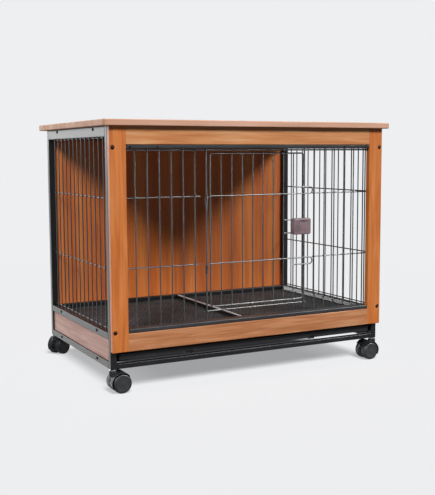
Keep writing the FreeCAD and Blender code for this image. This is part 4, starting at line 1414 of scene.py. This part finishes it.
@dataclass
class Casters:
    """Four twin-wheel casters: zinc stems with collars, curved hoods and turned wheels."""

    turns: tuple[float, ...] = (0.0, 180.0, 35.0, -110.0)  # of each corner's swivel, in degrees
    trail: float = 0.017
    wheel_radius: float = 0.02375
    wheel_width: float = 0.015
    wheel_edge: float = 0.005
    wheel_edge_steps: int = 6
    inner_edge: float = 0.001
    ring_radius: float = 0.0185
    ring_width: float = 0.0012
    ring_depth: float = 0.0008
    cap_radius: float = 0.0065
    cap_slope: float = 0.001
    web: float = 0.0134
    web_room: float = 0.0003
    web_radius: float = 0.017
    web_edge: float = 0.0004
    web_steps: int = 20
    hood_radius: float = 0.02725
    hood_wall: float = 0.0025
    hood_start: float = 40.0
    hood_end: float = 205.0
    hood_taper: float = 30.0  # degrees over which the fender thins toward each end
    hood_tip: float = 0.25  # part of its wall that is left there
    hood_width: float = 0.041
    hood_edge: float = 0.0006
    hood_steps: int = 28
    hood_top: float = 0.0532
    boss_radius: float = 0.01
    boss_height: float = 0.012
    boss_edge: float = 0.001
    stem_radius: float = 0.004
    stem_low: float = 0.0285
    stem_high: float = 0.0855
    collar_radius: float = 0.0085
    collar_low: float = 0.0535
    collar_edge: float = 0.0006
    axle_radius: float = 0.004
    wheel_sides: int = 64
    stem_sides: int = 32
    axle_sides: int = 24

    def wheel(self, hand: int) -> Mesh:
        """Make a wheel beside the web: eased tread, ring groove and cap on its outer disc.

        Args:
            hand: 1 or -1 for the side of the web.

        Returns:
            Closed mesh about the swivel axis.
        """
        radius, width, edge = self.wheel_radius, self.wheel_width, self.wheel_edge
        ring, half, depth = self.ring_radius, self.ring_width / 2, self.ring_depth
        cap = width - depth / 4
        profile = [(0, width - edge), (self.axle_radius, width - edge), (self.axle_radius, 0.0)]
        profile += [(radius - self.inner_edge, 0.0), (radius, self.inner_edge)]
        profile += arc((radius - edge, width - edge), edge, 0, 90, self.wheel_edge_steps)
        profile += [(ring + 2 * half, width), (ring + half, width - depth), (ring - half, width - depth)]
        profile += [(ring - 2 * half, width), (ring - 4 * half, width - depth / 2)]
        profile += [(self.cap_radius + self.cap_slope, width - depth), (self.cap_radius, cap), (0, cap)]
        out = Matrix.Rotation(-hand * QUARTER_TURN, 4, "X")
        shift = Matrix.Translation((self.trail, hand * (self.web / 2 + self.web_room), radius))
        return lathe(profile, self.wheel_sides, shift @ out)

    def hood(self) -> Mesh:
        """Make a hood: web between the wheels, fender over them and the boss for the stem."""
        hub = (self.trail, self.wheel_radius)
        start, end = self.hood_start, self.hood_end
        outer = []
        for x, z in arc((0.0, 0.0), 1.0, start, end, self.hood_steps):
            turn = math.degrees(math.atan2(z, x)) % 360
            near_end = max(0.0, 1 - min(turn - start, end - turn) / self.hood_taper)
            reach = self.hood_radius - self.hood_wall * (1 - self.hood_tip) * near_end
            outer.append((hub[0] + reach * x, hub[1] + reach * z))
        inner = arc(hub, self.hood_radius - self.hood_wall, end, start, self.hood_steps)
        core = arc(hub, self.web_radius, end, start + 360, self.web_steps)
        top, edge, radius = self.hood_top, self.boss_edge, self.boss_radius
        low = top - self.boss_height
        boss = [(0, low), (radius, low), (radius, top - edge), (radius - edge, top), (0, top)]
        reach = self.web / 2 + self.wheel_width - self.wheel_edge
        across = Matrix.Translation((hub[0], 0, hub[1])) @ Matrix.Rotation(QUARTER_TURN, 4, "X")
        return joined(
            [
                plate(outer + inner, self.hood_width, self.hood_edge),
                plate(outer[1:-1] + core, self.web, self.web_edge),
                lathe(boss, self.stem_sides),
                lathe(rod(self.axle_radius, -reach, reach), self.axle_sides, across),
            ]
        )

    def stem(self) -> Mesh:
        """Make a stem with a rounded collar on the swivel axis."""
        stem, collar, edge = self.stem_radius, self.collar_radius, self.collar_edge
        low, foot = self.collar_low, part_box("front_left_post")[0].z
        profile = [(0, self.stem_low), (stem, self.stem_low), (stem, low), (collar - edge, low)]
        profile += [(collar, low + edge), (collar, foot - edge), (collar - edge, foot), (stem, foot)]
        profile += [(stem, self.stem_high), (0, self.stem_high)]
        return lathe(profile, self.stem_sides)

    def build(self) -> list[Piece]:
        """Make and dress the casters, each on its own bodies, and return their pieces."""
        wheels = {"a": self.wheel(1), "b": self.wheel(-1)}
        hood, stem = self.hood(), self.stem()
        pieces, stems = [], []
        for corner, turn in zip(CORNERS, self.turns):
            post = middle(f"{corner}_post")
            place = Matrix.Translation((post.x, post.y, 0)) @ Matrix.Rotation(math.radians(turn), 4, "Z")
            node = f"{corner}_caster_hood"
            shell = moved(hood, place)
            pieces.append(dress(f"{node}_shell", shell, CASTER_PLASTIC, [node], f"{corner}_caster"))
            for letter, wheel in wheels.items():
                node = f"{corner}_wheel_{letter}"
                shape = moved(wheel, place)
                pieces.append(dress(f"{node}_turned", shape, WHEEL_PLASTIC, [node], f"{node}_body"))
            stems.append(moved(stem, place))
        pieces.append(dress("caster_stems_turned", joined(stems), ZINC_PLATE, ["caster_stems"]))
        return pieces


def aimed(light: Piece, place: Point, ahead: Vector) -> Piece:
    """Stand a light at a place, let it shine ahead, and return it."""
    light.location = place
    light.rotation_euler = ahead.to_track_quat("-Z", "Y").to_euler()
    return light


@dataclass(frozen=True)
class Sun:
    """Far light, which is even over the whole object."""

    name: str
    ahead: tuple[float, float, float]  # direction in which it shines
    strength: float  # watts per square metre
    spread: float  # angle that it fills, in degrees
    distance: float = 4.0

    def make(self) -> Piece:
        """Add the light to the scene."""
        data = bpy.data.lights.new(self.name, "SUN")
        data.energy = self.strength
        data.angle = math.radians(self.spread)
        ahead = Vector(self.ahead)
        return aimed(put(self.name, data), -ahead * self.distance, ahead)


@dataclass(frozen=True)
class LitWall:
    """Wide light, which shows as a reflection in the faces turned to it."""

    name: str
    place: tuple[float, float, float]
    aim: tuple[float, float, float]  # point that it faces
    size: Flat
    power: float  # watts

    def make(self) -> Piece:
        """Add the light to the scene."""
        data = bpy.data.lights.new(self.name, "AREA")
        data.shape = "RECTANGLE"
        data.size, data.size_y = self.size
        data.energy = self.power
        return aimed(put(self.name, data), self.place, Vector(self.aim) - Vector(self.place))


MAIN_LIGHTS = (
    Sun("front_right", (-1.0, 1.0, -1.0), 3.08, 16.0),
    Sun("front_left", (1.0, 1.0, -1.0), 3.4, 16.0),
    Sun("overhead", (0.0, -0.09, -1.0), 1.0, 2.0),
    LitWall("left_wall", (-1.3, 1.8, 1.1), (-0.39, 0.0, 1.1), (1.4, 1.0), 20.0),
    LitWall("left_wall_foot", (-1.3, 1.8, -0.3), (-0.39, 0.0, -0.3), (1.4, 1.8), 12.0),
)
FLOOR_LIGHT = Sun("floor_light", (0.12, 0.78, -1.0), 3.67, 26.0)
# Low light on the front wires, and a light from behind on the inner face of the far side rail
WIRE_LIGHT = Sun("wire_light", (-0.5, 1.0, 0.02), 0.55, 9.0)
RAIL_LIGHT = Sun("rail_light", (0.46, -0.88, 0.1), 0.7, 0.0)


def linked(name: str, items: Sequence[Piece], state: str = "INCLUDE") -> bpy.types.Collection:
    """Make a collection for light linking.

    Args:
        name: Name of the collection.
        items: Objects in it.
        state: INCLUDE or EXCLUDE, for what the light does with them.

    Returns:
        The collection, which is not part of the scene.
    """
    group = bpy.data.collections.new(name)
    for item in items:
        group.objects.link(item)
    for entry in group.collection_objects:
        entry.light_linking.link_state = state
    return group


@dataclass
class Stage:
    """Camera at the photo's viewing angle, pale floor and world, and soft studio lights."""

    camera_place: tuple[float, float, float] = (-1.0989, -2.1466, 0.5661)
    yaw: float = 27.49
    pitch: float = 6.13
    roll: float = -0.26
    focal_pixels: float = 872.37
    floor_size: float = 60.0
    fade: Flat = (1.2, 3.0)  # distances between which the floor turns into the background
    ambient: float = 0.02
    mirrored: float = 0.24  # how bright the surroundings are in reflections
    floor_color: str = "f2f3f5"
    bounce: float = 0.08  # how bright the floor is to the light that it throws back at the object
    floor_glow: float = 0.4  # painted: part of the floor's glow kept a little way under the object, which lightens the shadow there
    side_glow: float = 0.7  # the same, painted lighter toward the two sides
    side_middle: float = 0.02  # the painted shadow is deepest here
    side_span: Flat = (0.22, 0.52)
    painted_shadow_middle: tuple[float, float, float] = (0.04, 0.12, 0.0)  # middle of the painted shadow, where that glow fails under the object
    painted_shadow_half: Flat = (0.3, 0.09)
    painted_shadow_edge: float = 0.05

    def camera(self) -> None:
        """Make the camera."""
        yaw, pitch, roll = (math.radians(angle) for angle in (self.yaw, self.pitch, self.roll))
        ahead = Vector((math.sin(yaw) * math.cos(pitch), math.cos(yaw) * math.cos(pitch), -math.sin(pitch)))
        level = Vector((math.cos(yaw), -math.sin(yaw), 0))
        upright = level.cross(ahead)
        right = level * math.cos(roll) + upright * math.sin(roll)
        up = upright * math.cos(roll) - level * math.sin(roll)
        data = bpy.data.cameras.new("photo_camera")
        data.sensor_width = SENSOR
        data.lens = self.focal_pixels * SENSOR / IMAGE_LONG_SIDE
        camera = put("photo_camera", data)
        turn = Matrix((right, up, -ahead)).transposed().to_4x4()
        camera.matrix_world = Matrix.Translation(self.camera_place) @ turn
        bpy.context.scene.camera = camera

    def world(self) -> None:
        """Make a pale world that lights softly, is mirrored dimly and is seen at its own colour."""
        world = bpy.data.worlds.new("studio")
        tree = fresh_tree(world)
        rays = add_node(tree, "ShaderNodeLightPath").outputs
        strength = self.ambient
        for kind, value in (("Glossy", self.mirrored), ("Camera", 1.0), ("Transmission", 1.0)):
            shares = {"Factor": rays[f"Is {kind} Ray"], "A": strength, "B": value}
            strength = flow(tree, "ShaderNodeMix", shares, "Result")
        glow = flow(tree, "ShaderNodeBackground", {"Color": linear(WORLD_COLOR), "Strength": strength})
        add_node(tree, "ShaderNodeOutputWorld", {"Surface": glow})
        bpy.context.scene.world = world

    def glow_share(self, tree: Tree, place: Socket) -> Socket:
        """Add nodes for the floor's own glow, a painted shadow set by position: dim near the object and none
        deep under it.

        Args:
            tree: Tree of the floor's material.
            place: Position socket.

        Returns:
            Value socket.
        """
        vector = "ShaderNodeVectorMath"
        offset = flow(tree, vector, {0: place, 1: self.painted_shadow_middle}, operation="SUBTRACT")
        away = flow(tree, vector, {0: offset}, operation="ABSOLUTE")
        sides = add_node(tree, "ShaderNodeSeparateXYZ", {"Vector": away}).outputs
        opened = []
        for side, half in zip(("X", "Y"), self.painted_shadow_half):
            span = (half - self.painted_shadow_edge, half + self.painted_shadow_edge)
            opened.append(remap(tree, sides[side], span, shape="SMOOTHSTEP"))
        across = flow(tree, "ShaderNodeSeparateXYZ", {"Vector": place}, "X")
        apart = reckon(tree, "ABSOLUTE", reckon(tree, "SUBTRACT", across, self.side_middle))
        lit = remap(tree, apart, self.side_span, (self.floor_glow, self.side_glow))
        return reckon(tree, "MULTIPLY", reckon(tree, "MAXIMUM", *opened), lit)

    def ground(self) -> Piece:
        """Make the floor: shaded under the object by a real and a painted shadow, fading to the background far
        away.

        Reflections pass through it, so that low rails mirror the lower part of the lit wall.

        Returns:
            The floor.
        """
        half = self.floor_size / 2
        mesh = bpy.data.meshes.new("studio_floor")
        corners = [(-half, -half, 0), (half, -half, 0), (half, half, 0), (-half, half, 0)]
        mesh.from_pydata(corners, [], [(0, 1, 2, 3)])
        floor = put("studio_floor", mesh)
        material = bpy.data.materials.new("studio_paper")
        tree = fresh_tree(material)
        place = flow(tree, "ShaderNodeTexCoord", out="Object")
        reach = flow(tree, "ShaderNodeVectorMath", {0: place}, "Value", operation="LENGTH")
        far = remap(tree, reach, self.fade, (self.glow_share(tree, place), 1.0), "SMOOTHSTEP")
        rays = add_node(tree, "ShaderNodeLightPath").outputs
        dim = reckon(tree, "MULTIPLY", rays["Is Diffuse Ray"], 1.0 - self.bounce)
        passed = reckon(tree, "MAXIMUM", rays["Is Glossy Ray"], rays["Is Shadow Ray"])
        glow = flow(tree, "ShaderNodeEmission", {"Color": linear(WORLD_COLOR), "Strength": 1.0})
        dark = flow(tree, "ShaderNodeBsdfDiffuse", {"Color": linear("000000")})
        clear = flow(tree, "ShaderNodeBsdfTransparent")
        shown = flow(tree, "ShaderNodeBsdfDiffuse", {"Color": linear(self.floor_color)})
        for share, other in ((far, glow), (dim, dark), (passed, clear)):
            shown = flow(tree, "ShaderNodeMixShader", {0: share, 1: shown, 2: other})
        add_node(tree, "ShaderNodeOutputMaterial", {"Surface": shown})
        mesh.materials.append(material)
        return floor

    def build(self, low_pieces: Sequence[Piece], front_wires: Sequence[Piece], far_rail: Piece) -> None:
        """Make camera, world, floor and lights.

        Args:
            low_pieces: Pieces that keep the light off the floor.
            front_wires: Pieces that a low light from the front picks out.
            far_rail: Rail whose inner face a light from behind picks out.
        """
        self.camera()
        self.world()
        floor = self.ground()
        off_floor = linked("all_but_floor", [floor], "EXCLUDE")
        for light in MAIN_LIGHTS:
            light.make().light_linking.receiver_collection = off_floor
        on_floor = FLOOR_LIGHT.make().light_linking
        on_floor.receiver_collection = linked("floor_only", [floor])
        on_floor.blocker_collection = linked("floor_shaders", low_pieces)
        WIRE_LIGHT.make().light_linking.receiver_collection = linked("front_wires_only", front_wires)
        on_rail = RAIL_LIGHT.make().light_linking
        on_rail.receiver_collection = linked("far_rail_only", [far_rail])
        on_rail.blocker_collection = linked("far_rail_shader", [far_rail])
        bpy.context.scene.view_settings.view_transform = "Standard"


def main() -> None:
    """Build every sub-assembly in order."""
    logging.basicConfig(level=logging.INFO, format="%(name)s %(message)s")
    rows = WireRow()
    fasteners = Fasteners(HeadsOnPoints())
    WoodPanels().build(fasteners.stile_seats())
    tubes = SteelFrame().build()
    fasteners.build()
    front_wires = [*WireGrilles(rows).build(), WireDoor(rows, BentWire()).build()]
    Latch().build()
    Floor(CellGrid()).build()
    low_pieces = [PullOutTray().build(), *Casters().build()]
    Stage().build(low_pieces, front_wires, tubes["right_mid_rail"])


if __name__ == "__main__":
    main()
